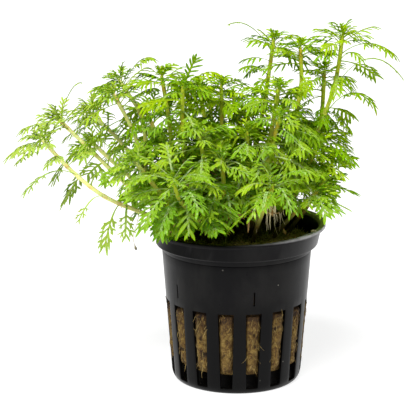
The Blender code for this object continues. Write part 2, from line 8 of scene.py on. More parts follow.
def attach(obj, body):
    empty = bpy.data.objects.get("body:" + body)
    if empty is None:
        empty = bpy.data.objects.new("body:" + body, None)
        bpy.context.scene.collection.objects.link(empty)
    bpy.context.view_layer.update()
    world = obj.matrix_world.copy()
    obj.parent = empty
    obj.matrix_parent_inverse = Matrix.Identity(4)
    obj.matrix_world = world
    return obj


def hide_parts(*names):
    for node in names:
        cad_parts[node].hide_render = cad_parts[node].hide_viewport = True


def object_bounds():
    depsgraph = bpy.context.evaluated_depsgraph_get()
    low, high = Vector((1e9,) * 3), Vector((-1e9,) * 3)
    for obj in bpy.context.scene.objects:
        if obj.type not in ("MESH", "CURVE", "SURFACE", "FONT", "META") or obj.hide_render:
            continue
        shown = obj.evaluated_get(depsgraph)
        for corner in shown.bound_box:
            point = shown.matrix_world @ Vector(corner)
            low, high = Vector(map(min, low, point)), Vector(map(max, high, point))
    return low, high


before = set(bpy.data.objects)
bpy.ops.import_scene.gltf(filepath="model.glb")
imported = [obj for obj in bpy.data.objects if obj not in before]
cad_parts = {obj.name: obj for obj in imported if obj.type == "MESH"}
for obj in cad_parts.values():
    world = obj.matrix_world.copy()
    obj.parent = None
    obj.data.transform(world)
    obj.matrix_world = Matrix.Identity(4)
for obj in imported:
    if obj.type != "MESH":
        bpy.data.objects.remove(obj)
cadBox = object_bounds()
mm = 0.001
rng = np.random.default_rng(11)
print("frame loaded:", len(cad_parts), "nodes")


# Small sums that several pieces share

# From 0 at the start of a range to 1 at its end: (value - start) / (end - start).
def within(start, end, value):
    return np.clip((value - start) / (end - start), 0, 1)


# The same with a soft start and end: share^2 * (3 - 2 * share).
def smoothstep(start, end, value):
    share = within(start, end, value)
    return share * share * (3 - 2 * share)


# Vectors brought to length one: vector / length.
def unit(vectors):
    return vectors / np.linalg.norm(vectors, axis=-1, keepdims=True)


# Value noise from -1 to 1: scrambled numbers on a lattice whose step is size, in millimetres, blended
# smoothly between the eight corners round a point.
def lumps(points, size, seed=0):
    scaled = points / (np.array(size) * mm) + 17.3 * (seed + 1)
    cell = np.floor(scaled).astype(np.int64)
    inside = scaled - cell
    inside = inside * inside * (3 - 2 * inside)
    total = 0
    for corner in np.ndindex(2, 2, 2):
        key = (cell + corner) @ np.array([73856093, 19349663, 83492791])
        key = ((key ^ (key >> 11)) * 60493 + 12347) & 0x7FFFFFFF
        key = ((key ^ (key >> 9)) * 40503) & 0xFFFFF
        total = total + np.prod(np.where(corner, inside, 1 - inside), axis=-1) * (key / 0x80000 - 1)
    return total


# Noise of several sizes added up: the sum of share * lumps.
def layered(points, layers):
    return sum(share * lumps(points, size, seed) for share, size, seed in layers)


# Closed forms carried along paths: point = path + across * side + lift * up. Each ring joins the next one
# all round, and a flat face shuts each end. Paths, sides and ups are (forms, rings, 3), across and lift
# (forms, rings, corners).
def carried(path, side, up, across, lift):
    points = path[..., None, :] + across[..., None] * side[..., None, :] + lift[..., None] * up[..., None, :]
    number = np.arange(points[..., 0].size).reshape(points.shape[:3])
    here, ahead = number[:, :-1], number[:, 1:]
    bands = np.stack([here, ahead, np.roll(ahead, -1, 2), np.roll(here, -1, 2)], axis=-1).reshape(-1, 4)
    return points.reshape(-1, 3), [*bands.tolist(), *number[:, 0].tolist(), *number[:, -1, ::-1].tolist()]


# One tube along a path, square to it: point = path + ring * (cos turn * side + sin turn * up). aside is a
# direction that the path never takes.
def tube(path, ring, turn, aside):
    heading = unit(np.gradient(path, axis=0))
    side = unit(np.cross(heading, aside))
    return carried(path[None], side[None], np.cross(side, heading)[None],
                   (ring * np.cos(turn))[None], (ring * np.sin(turn))[None])


# A grid of points turned round Z: their numbers, each one's neighbour round the ring, and the faces between.
def turned(rows, columns):
    number = np.arange(rows * columns).reshape(rows, columns)
    beside = np.roll(number, -1, 1)
    return number, beside, np.stack([number[:-1], beside[:-1], beside[1:], number[1:]], axis=-1)


# Joins (points, faces, finish number, values) parts into one mesh. Values are attributes with a number a
# point.
def piece(name, parts, finishes, stands, sharp):
    points, faces, slots = [], [], []
    values = {key: [] for part in parts for key in part[3]}
    for partPoints, partFaces, number, partValues in parts:
        start = sum(map(len, points))
        faces += [[i + start for i in face] for face in partFaces]
        slots += [number] * len(partFaces)
        points.append(partPoints)
        for key in values:
            values[key].append(np.broadcast_to(partValues.get(key, 0.0), len(partPoints)))
    mesh = bpy.data.meshes.new(name)
    mesh.from_pydata(np.concatenate(points), [], faces)
    for material in finishes:
        mesh.materials.append(material)
    mesh.polygons.foreach_set("material_index", slots)
    for key, value in values.items():
        mesh.attributes.new(key, "FLOAT", "POINT").data.foreach_set("value", np.concatenate(value))
    mesh.update()
    mesh.shade_smooth()
    mesh.set_sharp_from_angle(angle=np.radians(sharp))
    obj = bpy.data.objects.new(name, mesh)
    bpy.context.scene.collection.objects.link(obj)
    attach(obj, "root")
    if stands:
        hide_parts(*stands)
    return obj


# Shader sums

# Wraps a shader socket, so that a sum of sockets adds its Math nodes. make adds any other node: its type, its
# settings, what goes into its sockets, and the output that is read.
class Field:
    def __init__(self, socket):
        self.socket = socket

    def make(self, kind, settings={}, inputs={}, output=0):
        node = self.socket.id_data.nodes.new("ShaderNode" + kind)
        for key, value in settings.items():
            if key == "stops":
                while len(node.color_ramp.elements) < len(value):
                    node.color_ramp.elements.new(0.5)
                for stop, (place, colour) in zip(node.color_ramp.elements, value):
                    stop.position = place
                    stop.color = (*colour, 1)
            else:
                setattr(node, key, value)
        for key, value in inputs.items():
            if isinstance(value, Field):
                self.socket.id_data.links.new(value.socket, node.inputs[key])
            else:
                node.inputs[key].default_value = value
        return Field(node.outputs[output])

    def sum(self, operation, *values):
        return self.make("Math", {"operation": operation}, dict(enumerate(values)))

    def __add__(self, other):
        return self.sum("ADD", self, other)

    def __sub__(self, other):
        return self.sum("SUBTRACT", self, other)

    def __rsub__(self, other):
        return self.sum("SUBTRACT", other, self)

    def __mul__(self, other):
        return self.sum("MULTIPLY", self, other)

    __radd__ = __add__
    __rmul__ = __mul__

    # From 0 at one value to 1 at another, with a soft start and end.
    def over(self, start, end):
        return self.make("MapRange", {"interpolation_type": "SMOOTHSTEP"}, {0: self, 1: start, 2: end})

    # One colour where this is 0, the other where it is 1.
    def paint(self, low, high):
        low, high = [c if isinstance(c, Field) else (*c, 1) for c in (low, high)]
        return self.make("Mix", {"data_type": "RGBA"}, {0: self, 6: low, 7: high}, 2)

    def ramp(self, *stops):
        return self.make("ValToRGB", {"stops": stops}, {0: self})

    def stretched(self, x, y, z):
        return self.make("Mapping", {}, {"Vector": self, "Scale": (x, y, z)})

    def noise(self, size, detail=2, roughness=0.5):
        inputs = {"Vector": self, "Scale": 1 / (size * mm), "Detail": detail, "Roughness": roughness}
        return self.make("TexNoise", {}, inputs, "Fac")

    def cells(self, size):
        return self.make("TexVoronoi", {}, {"Vector": self, "Scale": 1 / (size * mm)}, "Distance")

    def bump(self, height, strength=1.0):
        return self.make("Bump", {}, {"Height": self, "Distance": height * mm, "Strength": strength})

    def value(self, name):
        return self.make("Attribute", {"attribute_name": name}, {}, "Fac")

    def axis(self, name):
        return self.make("SeparateXYZ", {}, {0: self}, name)

    # The place itself, pushed about by noise, so that what is read there swirls.
    def warped(self, size, amount):
        colour = self.make("TexNoise", {}, {"Vector": self, "Scale": 1 / (size * mm), "Detail": 1}, "Color")
        ends = {0: colour, 1: (amount * mm,) * 3, 2: (-amount * mm / 2,) * 3}
        shift = self.make("VectorMath", {"operation": "MULTIPLY_ADD"}, ends)
        return self.make("VectorMath", {"operation": "ADD"}, {0: self, 1: shift})


# A Principled material. fields gives what changes over the surface, constants what is the same all over.
def finish(name, fields, constants):
    made = bpy.data.materials.new(name)
    made.use_nodes = True
    tree = made.node_tree
    shader = tree.nodes["Principled BSDF"]
    place = Field(tree.nodes.new("ShaderNodeTexCoord").outputs["Object"])
    for key, value in constants.items():
        shader.inputs[key].default_value = value
    for key, value in fields(place).items():
        tree.links.new(value.socket, shader.inputs[key])
    return made


# Camera, light and floor

view = {
    "target": (-9.2 * mm, 0, 55.84 * mm),
    "distance": 620 * mm,
    "elevation": 13.75,  # degrees above the floor
    "lens": 167.9,
    "floorWidth": 6.0,  # metres
    "skyTop": 1.9,
    "skyFront": 0.35,
    "skyBack": 0.5,  # how much the back of the room counts as its top
    "skyRise": (-0.1, 0.9),
    "floorShade": 0.32,
    "floorGlow": 0.86,
    "keyLight": 4.4,
    "keySoftness": 34,
    "keyTurn": (30, -22),
}


# The camera stands at target + distance * (0, -cos, sin) of its elevation. The light of the room grows from
# its front to its top: front + (top - front) * softly risen height.
def makeStage():
    scene = bpy.context.scene
    scene.view_settings.view_transform = "Standard"
    lift = np.radians(view["elevation"])
    camera = bpy.data.objects.new("camera", bpy.data.cameras.new("camera"))
    camera.data.lens = view["lens"]
    camera.data.clip_start = 0.01
    back = view["distance"] * np.array([0, -np.cos(lift), np.sin(lift)])
    camera.location = back + view["target"]
    camera.rotation_euler = (np.pi / 2 - lift, 0, 0)
    scene.collection.objects.link(camera)
    scene.camera = camera

    world = bpy.data.worlds.new("studio")
    world.use_nodes = True
    tree = world.node_tree
    toward = Field(tree.nodes.new("ShaderNodeTexCoord").outputs["Generated"])
    rise = toward.axis("Z") + view["skyBack"] * toward.axis("Y")
    sky = view["skyFront"] + (view["skyTop"] - view["skyFront"]) * rise.over(*view["skyRise"])
    tree.links.new(sky.socket, tree.nodes["Background"].inputs["Strength"])
    scene.world = world
    key = bpy.data.objects.new("key light", bpy.data.lights.new("key light", "SUN"))
    key.data.energy = view["keyLight"]
    key.data.angle = np.radians(view["keySoftness"])
    tilt, turn = np.radians(view["keyTurn"])
    key.rotation_euler = (tilt, 0, turn)
    scene.collection.objects.link(key)

    half = view["floorWidth"] / 2
    mesh = bpy.data.meshes.new("floor")
    corners = [(-half, -half, 0), (half, -half, 0), (half, half, 0), (-half, half, 0)]
    mesh.from_pydata(corners, [], [(0, 1, 2, 3)])
    floor = bpy.data.objects.new("floor", mesh)
    shade = (view["floorShade"],) * 3
    pale = {"Base Color": (*shade, 1), "Roughness": 0.9, "Emission Color": (1, 1, 1, 1),
            "Emission Strength": view["floorGlow"]}
    mesh.materials.append(finish("pale floor", lambda place: {}, pale))
    scene.collection.objects.link(floor)


makeStage()
print("camera, light and floor made")


# Net pot

potShape = {
    "height": 50.5 * mm,
    "lipRadius": 27.5 * mm,
    "lipThick": 1.0 * mm,
    "collarRadius": 26.1 * mm,
    "collarDepth": 6.0 * mm,
    "wallTop": 24.1 * mm,
    "wallFoot": 21.0 * mm,
    "footRadius": 19.0 * mm,
    "footRound": 4.0 * mm,
    "wall": 1.0 * mm,
    "footThick": 1.6,  # how much thicker the wall is at the floor than at the top
    "floor": 1.2 * mm,
    "slots": 16,
    "slotPhase": np.radians(-9.4),
    "slotBottom": 1.8 * mm,
    "slotTop": 27.0 * mm,
    "slotWidths": (3.8 * mm, 5.1 * mm),  # at the bottom and the top
    "slitHalf": 0.25 * mm,
    "slitBand": (29.75 * mm, 34.25 * mm),
    "slits": (-2, 1, 4, 7, 10),  # above which slots
    "wallRows": (37 * mm, 40 * mm, 42.6 * mm),
    "groove": (42.9 * mm, 43.2 * mm),
    "grooveDepth": 0.12 * mm,
    "lipTilt": np.radians(2.2),
    "lipShift": 1.0 * mm,
    "edgeRound": 0.22 * mm,
}


# The wall's outer radius at a height below the collar: foot + share of the way up * (top - foot).
def wallRadius(z):
    s = potShape
    share = (z - s["footRound"]) / (s["height"] - s["collarDepth"] - s["footRound"])
    return s["wallFoot"] + share * (s["wallTop"] - s["wallFoot"])


# The wall's inner radius, by the same rule, with a thicker wall at the floor.
def innerRadius(z):
    s = potShape
    share = (z - s["floor"]) / (s["height"] - s["collarDepth"] - s["floor"])
    low = s["wallFoot"] - s["footThick"] * s["wall"]
    return low + share * (s["wallTop"] - s["wall"] - low)


# A slot's width at a height, in a straight line from its bottom to its top.
def slotWidth(z):
    return np.interp(z, (potShape["slotBottom"], potShape["slotTop"]), potShape["slotWidths"])


# The lip sits a little crooked on the collar: height + x * tan(tilt), and x + shift, both from nothing at the
# collar's foot to all of it under the lip.
def pressedRim(points):
    top = potShape["height"]
    ramp = smoothstep(top - potShape["collarDepth"], top - potShape["lipThick"], points[:, 2])
    moved = points.copy()
    moved[:, 2] += ramp * points[:, 0] * np.tan(potShape["lipTilt"])
    moved[:, 0] += ramp * potShape["lipShift"]
    return moved


# The pot's outer skin is a profile of radius and height turned round Z: (radius * sin turn, -radius * cos
# turn, height). In every pitch the columns stand on the slot's and the slit's edges, so that their holes
# are squares left out of the grid, and Solidify gives the wall its thickness.
def makePot(plastic):
    s = potShape
    curve = np.linspace(0, np.pi / 2, 7)
    footRadius = s["footRadius"] + (s["wallFoot"] - s["footRadius"]) * np.sin(curve)
    footHeight = s["footRound"] * (1 - np.cos(curve))
    slotFoot = (np.interp(s["slotBottom"], footHeight, footRadius), s["slotBottom"])
    foot = sorted([*zip(footRadius, footHeight), slotFoot], key=lambda spot: spot[1])
    heights = [*np.linspace(6 * mm, s["slotTop"], 8), *s["slitBand"], *s["wallRows"]]
    wall = [(wallRadius(z), z) for z in heights]
    low, high = s["groove"]
    groove = [(wallRadius(low) - s["grooveDepth"], low), (wallRadius(high), high)]
    ledge = s["height"] - s["collarDepth"]
    under = s["height"] - s["lipThick"]
    wide = s["collarRadius"]
    collar = [(s["wallTop"], ledge - 0.3 * mm), (s["wallTop"] + 0.35 * mm, ledge),
              (wide - 0.4 * mm, ledge + 0.2 * mm), (wide - 0.1 * mm, ledge + 0.6 * mm),
              (wide, under - 0.5 * mm), (wide + 0.25 * mm, under - 0.1 * mm), (s["lipRadius"], under)]
    profile = np.array([*foot, *wall, *groove, *collar])
    radius, height = profile.T
    pitch = 2 * np.pi / s["slots"]
    halfSlot = slotWidth(height) / 2 / radius
    halfSlit = s["slitHalf"] / radius
    rib = 0.5 * (halfSlot + pitch / 2)
    middle = 0.5 * (halfSlot + halfSlit)
    edges = [-halfSlot, -middle, -halfSlit, halfSlit, middle, halfSlot]
    offsets = np.stack([np.full_like(rib, -pitch / 2), -rib, *edges, rib], axis=1)
    columns = offsets.shape[1]
    angle = s["slotPhase"] + pitch * np.arange(s["slots"])[None, :, None] + offsets[:, None, :]
    angle = angle.reshape(len(profile), -1)
    points = np.stack([radius[:, None] * np.sin(angle), -radius[:, None] * np.cos(angle),
                       np.broadcast_to(height[:, None], angle.shape)], axis=-1)
    number, beside, faces = turned(*angle.shape)
    slot, column = np.divmod(np.arange(angle.shape[1]), columns)
    row = 0.5 * (height[1:] + height[:-1])[:, None]
    inSlot = (column >= 2) & (column <= 6) & (row > s["slotBottom"]) & (row < s["slotTop"])
    slitSlots = np.isin(slot, np.array(s["slits"]) % s["slots"])
    inSlit = slitSlots & (column == 4) & (row > s["slitBand"][0]) & (row < s["slitBand"][1])
    kept = faces[~(inSlot | inSlit)].tolist()
    kept += [[angle.size, b, a] for a, b in zip(number[0], beside[0])]
    points = np.concatenate([points.reshape(-1, 3), [(0, 0, 0)]])
    shell = (pressedRim(points), kept, 0, {})
    pot = piece("net_pot_shell", [shell], [plastic], ["net_pot"], 30)
    wallModifier = pot.modifiers.new("wall", "SOLIDIFY")
    wallModifier.thickness = s["wall"]
    wallModifier.offset = -1
    wallModifier.use_even_offset = True
    rounds = pot.modifiers.new("rounded edges", "BEVEL")
    rounds.width = s["edgeRound"]
    rounds.segments = 2
    rounds.limit_method = "ANGLE"
    rounds.angle_limit = np.radians(40)


# Black plastic with smears and a few specks of dust, blacker low down, and its lip painted pale as a
# painted reflection of the bright room, paler towards the right and broken up by wear.
def plasticFields(place):
    wear = place.stretched(1, 1, 0.25).noise(2.2, 4, 0.6)
    grain = place.noise(0.35, 3)
    dust = place.cells(5.5)
    speck = (1 - dust.over(0.02, 0.06)) * place.noise(9).over(0.5, 0.62)
    smear = place.stretched(1, 1, 0.5).noise(9, 4, 0.6).over(0.35, 0.7)
    colour = smear.paint((0.0025, 0.0022, 0.0028), (0.0105, 0.0098, 0.0095))
    lip = place.axis("Z").over(50.2 * mm, 50.8 * mm) * (0.6 + 0.4 * wear.over(0.3, 0.6))
    # The lip's pale colour is a painted reflection, standing in for the light that the leaves above keep off
    # it; it grows paler towards the right.
    paintedLipReflection = place.axis("X").over(6 * mm, 26 * mm).paint((0.10, 0.096, 0.10), (0.48, 0.47, 0.48))
    shade = place.axis("Z").over(34 * mm, 24 * mm) * 0.85
    colour = lip.paint(shade.paint(colour, (0.0006, 0.0005, 0.0005)), paintedLipReflection)
    return {
        "Base Color": speck.paint(colour, (0.30, 0.28, 0.24)),
        "Roughness": 0.20 + 0.16 * wear + 0.06 * grain,
        "Normal": (wear * 0.6 + grain * 0.4).bump(0.05, 0.35),
    }


plastic = finish("black moulded plastic", plasticFields, {"Specular IOR Level": 0.11})
makePot(plastic)
print("net pot made")


# Rock wool plug

woolShape = {
    "top": 48.8 * mm,
    "bottom": 6.0 * mm,
    "gap": 0.35 * mm,
    "shoulder": 3.0 * mm,
    "ridgeTop": 26.6 * mm,
    "ridgeBottom": 6.6 * mm,
    "proud": 1.75 * mm,
    "hollowAngle": np.radians(42),
    "hollowWidth": np.radians(24),
    "hollowDepth": 4.5 * mm,
    "hollowFrom": (12 * mm, 19 * mm),
    "edgeFrom": (19 * mm, 23.5 * mm),
    "edgeFall": 1.6 * mm,
    "topSunk": 0.45 * mm,
    "slotRoom": 0.3 * mm,
    "bulge": 0.45,  # how flat-topped the ribs in the slots are
    "ragged": 0.9 * mm,
    "swirl": 1.6 * mm,
    "pitsFrom": 0.35,
    "ribRelief": (0.55, 1.5),  # of the folds and of the pits
    "sideRelief": 0.15 * mm,
    "shadeDepth": (0.8, 2.4),
    "columns": 352,
    "sideRows": 84,
    "topRows": 34,
    # Noise: the share of each layer, the size of its lumps in millimetres, and its seed
    "topLumps": [(0.55, 4.2, 3), (0.3, 1.5, 4), (0.15, 0.7, 5)],
    "folds": [(0.6, (1.5, 1.5, 3.4), 7), (0.45, (0.8, 0.8, 1.5), 8), (0.3, 3.0, 9)],
}


# How deep in the hollow a place is: exp(-(turn from its middle / width)^2).
def hollowAt(x, y):
    turn = (np.arctan2(y, x) - woolShape["hollowAngle"] + np.pi) % (2 * np.pi) - np.pi
    return np.exp(-((turn / woolShape["hollowWidth"]) ** 2))


# Height of the plug's top at a place: top + lumps - edge - hollow. It is lumpy moss, low against the pot's
# wall and in the hollow at the right rear.
def woolTopAt(x, y):
    s = woolShape
    radius = np.hypot(x, y)
    edge = smoothstep(*s["edgeFrom"], radius)
    hole = hollowAt(x, y) * smoothstep(*s["hollowFrom"], radius)
    relief = layered(np.stack([x, y, 0 * x], axis=-1), s["topLumps"])
    return s["top"] - s["topSunk"] + relief * mm - s["edgeFall"] * edge - s["hollowDepth"] * hole


# The plug is a profile turned round Z: bottom, side and top run from pole to pole. The side's radius is the
# pot's inside, pressed out in each slot by proud * (1 - (off / half width)^2)^bulge, and pulled by noise
# that is long in Z into fibre folds.
def makeWool(wool):
    s = woolShape
    shoulder = s["top"] - s["shoulder"]
    heights = np.linspace(s["bottom"] + 0.6 * mm, shoulder, s["sideRows"])
    side = [(innerRadius(z) - s["gap"], z) for z in heights]
    reach = innerRadius(shoulder) - s["gap"]
    top = [(reach * share, s["top"]) for share in np.linspace(0.975, 0.02, s["topRows"])]
    base = [(share * (side[0][0] - mm), s["bottom"]) for share in (0.5, 1)]
    profile = np.array(base + side + top)
    radius, height = profile.T
    turn = np.linspace(0, 2 * np.pi, s["columns"], endpoint=False)
    x, y = radius[:, None] * np.sin(turn), -radius[:, None] * np.cos(turn)
    z = np.broadcast_to(height[:, None], x.shape)
    onSide = np.broadcast_to(((height > s["bottom"]) & (height <= shoulder + mm / 10))[:, None], x.shape)
    pitch = 2 * np.pi / potShape["slots"]
    off = (turn - potShape["slotPhase"] + pitch / 2) % pitch - pitch / 2
    halfSlot = slotWidth(z) / 2 - s["slotRoom"]
    inSlot = np.clip(1 - (off * radius[:, None] / halfSlot) ** 2, 0, 1) ** s["bulge"]
    ragged = z + s["ragged"] * lumps(np.stack([x, y, 0 * z], axis=-1), 1.3, 23)
    band = smoothstep(s["ridgeBottom"], s["ridgeBottom"] + 2 * mm, ragged)
    band = band * (1 - smoothstep(s["ridgeTop"] - mm, s["ridgeTop"], z))
    spot = np.stack([x, y, z], axis=-1)
    swirl = spot + s["swirl"] * np.stack([lumps(spot, 3.2, seed) for seed in (20, 21, 22)], axis=-1)
    folds = layered(swirl, s["folds"])
    pits = np.minimum(lumps(swirl, (1.5, 1.5, 2.2), 10) + s["pitsFrom"], 0)
    foldRelief, pitRelief = s["ribRelief"]
    pressed = band * inSlot * (s["proud"] + (foldRelief * folds + pitRelief * pits) * mm)
    torn = np.where(z > s["ridgeTop"] + 3 * mm, s["hollowDepth"] * hollowAt(x, y), 0)
    grown = np.where(onSide, pressed - torn - s["sideRelief"] * np.abs(folds) * (1 - inSlot * band), 0)
    scale = 1 + grown / radius[:, None]
    x, y = x * scale, y * scale
    onTop = np.broadcast_to((height == s["top"])[:, None], x.shape)
    z = np.where(onTop, woolTopAt(x, y), z)
    number, beside, faces = turned(*x.shape)
    faces = faces.reshape(-1, 4).tolist()
    faces += [[x.size, b, a] for a, b in zip(number[0], beside[0])]
    faces += [[x.size + 1, a, b] for a, b in zip(number[-1], beside[-1])]
    poles = [(0, 0, s["bottom"]), (0, 0, woolTopAt(*np.zeros((2, 1)))[0])]
    points = np.concatenate([np.stack([x, y, z], axis=-1).reshape(-1, 3), poles])
    # How far down each fold and pit lies, for the painted shade that darkens them.
    foldShade, pitShade = s["shadeDepth"]
    depth = np.concatenate([-np.where(onSide, foldShade * folds + pitShade * pits, 0).ravel(), [0, 0]])
    moss = np.concatenate([onTop.ravel(), [0.0, 1.0]])
    plug = (points, faces, 0, {"depth": depth, "moss": moss})
    piece("wool_plug", [plug], [wool], ["rock_wool"], 60)


# Swirled fibre from dark damp brown to straw, darker towards the slot tops, with painted shade near black
# in its pits and folds, and earth under the moss.
def woolFields(place):
    swirl = place.warped(2.6, 3.4)
    streaks = swirl.stretched(1, 1, 0.3).noise(0.42, 5, 0.66)
    clumps = swirl.noise(1.5, 4, 0.6)
    # Darker higher up in the slots, from 19 mm to 27 mm.
    towardSlotTop = place.axis("Z").over(19 * mm, 27 * mm)
    # Painted shade: the further down a fold or pit lies, the nearer black its colour.
    paintedPitShade = place.value("depth").over(0.05, 1.2)
    lit = (streaks * 0.6 + clumps * 0.55 - 0.13 * towardSlotTop - 0.06).ramp(
        (0.36, (0.022, 0.009, 0.002)), (0.46, (0.09, 0.045, 0.009)),
        (0.57, (0.20, 0.125, 0.028)), (0.74, (0.36, 0.26, 0.08)))
    sides = (paintedPitShade * 0.9).paint(lit, (0.014, 0.006, 0.002))
    earth = place.warped(1.5, 1.4).noise(0.8, 5, 0.7).ramp(
        (0.33, (0.04, 0.025, 0.006)), (0.48, (0.15, 0.11, 0.025)),
        (0.62, (0.32, 0.26, 0.06)), (0.78, (0.46, 0.39, 0.12)))
    return {
        "Base Color": place.value("moss").paint(sides, earth),
        "Roughness": 0.62 + 0.3 * streaks,
        "Normal": (streaks + 0.6 * clumps).bump(0.3, 0.9),
    }


wool = finish("wet rock wool", woolFields, {"Specular IOR Level": 0.3})
makeWool(wool)
print("rock wool made")


# Growth of the shoots. It is the same plan as the solids', so that every lobe grows on a solid's own midrib.

growth = {
    "restGap": 0.3 * mm,
    "stemStep": 13.0 * mm,
    "curveSamples": 13,
    "stemRadius": 0.75 * mm,
    "stemTipRadius": 0.55 * mm,
    "stemShifts": (0, 1.5, -1.5, 3, -3, 4.5, -4.5),
    "lowestLeaf": 6.0 * mm,
    "petioleHalfWidth": 0.38 * mm,
    "bladeStart": 0.34,
    "keel": 0.5 * mm,
    "bladeWidth": 0.17,
    "longLeaf": 20.0 * mm,
    "shortLeaf": 15.0 * mm,
    "crownLeaf": 0.55,
    "leafGain": 0.15,
    "goldenAngle": np.radians(137.5),
    "firstLeaf": 0.8 * mm,
    "leafSpacing": 2.1 * mm,
    "spacingGrowth": 1.24,
    "shootTurn": 2.4,
    "crownTilts": (24, 54),
    "tiltGain": 12,
    "mostTilt": 88,
    "mostRoll": np.radians(38),
    "rollTurns": (2.3, 4.1),  # how the roll swings from shoot to shoot and from rank to rank
    "droops": (0.14, 0.2),  # of an upright leaf, and what lying down adds to it
    "shorter": (1, 0.84, 0.7),
    "steeper": (0, -16, 14, -30),
    "aside": (0, 22, -22, 45, -45, 68, -68, 95, -95),
    "tipNudges": [(0, 0, 0), (0, -2, 0), (0, 2, 0), (0, -4, 1), (0, 4, -1), (1, -3, 2), (-1, -3, -2)],
    # Single leaves, by the place of the tip: where their blade starts and how broad it is, and how far one
    # is rolled
    "drawnOut": {(-50, 8, 95): (0.7, 0.3), (-3, 12, 113): (0.7, 0.3), (52, -6, 98): (0.72, 0.3),
                 (-67, -12, 63): (0.58, 0.7), (-50, -12, 54): (0.66, 0.6), (-42, -10, 45): (0.5, 1.3),
                 (-35, -17, 50): (0.52, 0.8)},
    "rolled": {(-13, -5, 105): np.radians(75)},
    "sample": 0.7 * mm,
    "cell": 1.0 * mm,
    "gridLow": np.array([-95.0, -70.0, 35.0]) * mm,
    "gridCells": (170, 150, 95),
    "hemView": np.radians(13.75),
    "hem": [(-75, 37), (-40, 43), (-28, 46), (-12, 46.5), (-3, 49), (1, 53.5), (8, 56), (13, 53), (17, 55),
            (23, 53), (30, 53), (33, 59), (37, 69), (60, 82)],
}

# Shares of a leaf's length, and of its blade's half width there
toothedLeaf = [(0, 0), (growth["bladeStart"], 0), (0.58, 1), (0.63, 0.35), (0.84, 0.75)]
plainLeaf = [(0, 0), (growth["bladeStart"], 0), (0.72, 1)]
youngLeaf = [(0, 0), (0.68, 1)]
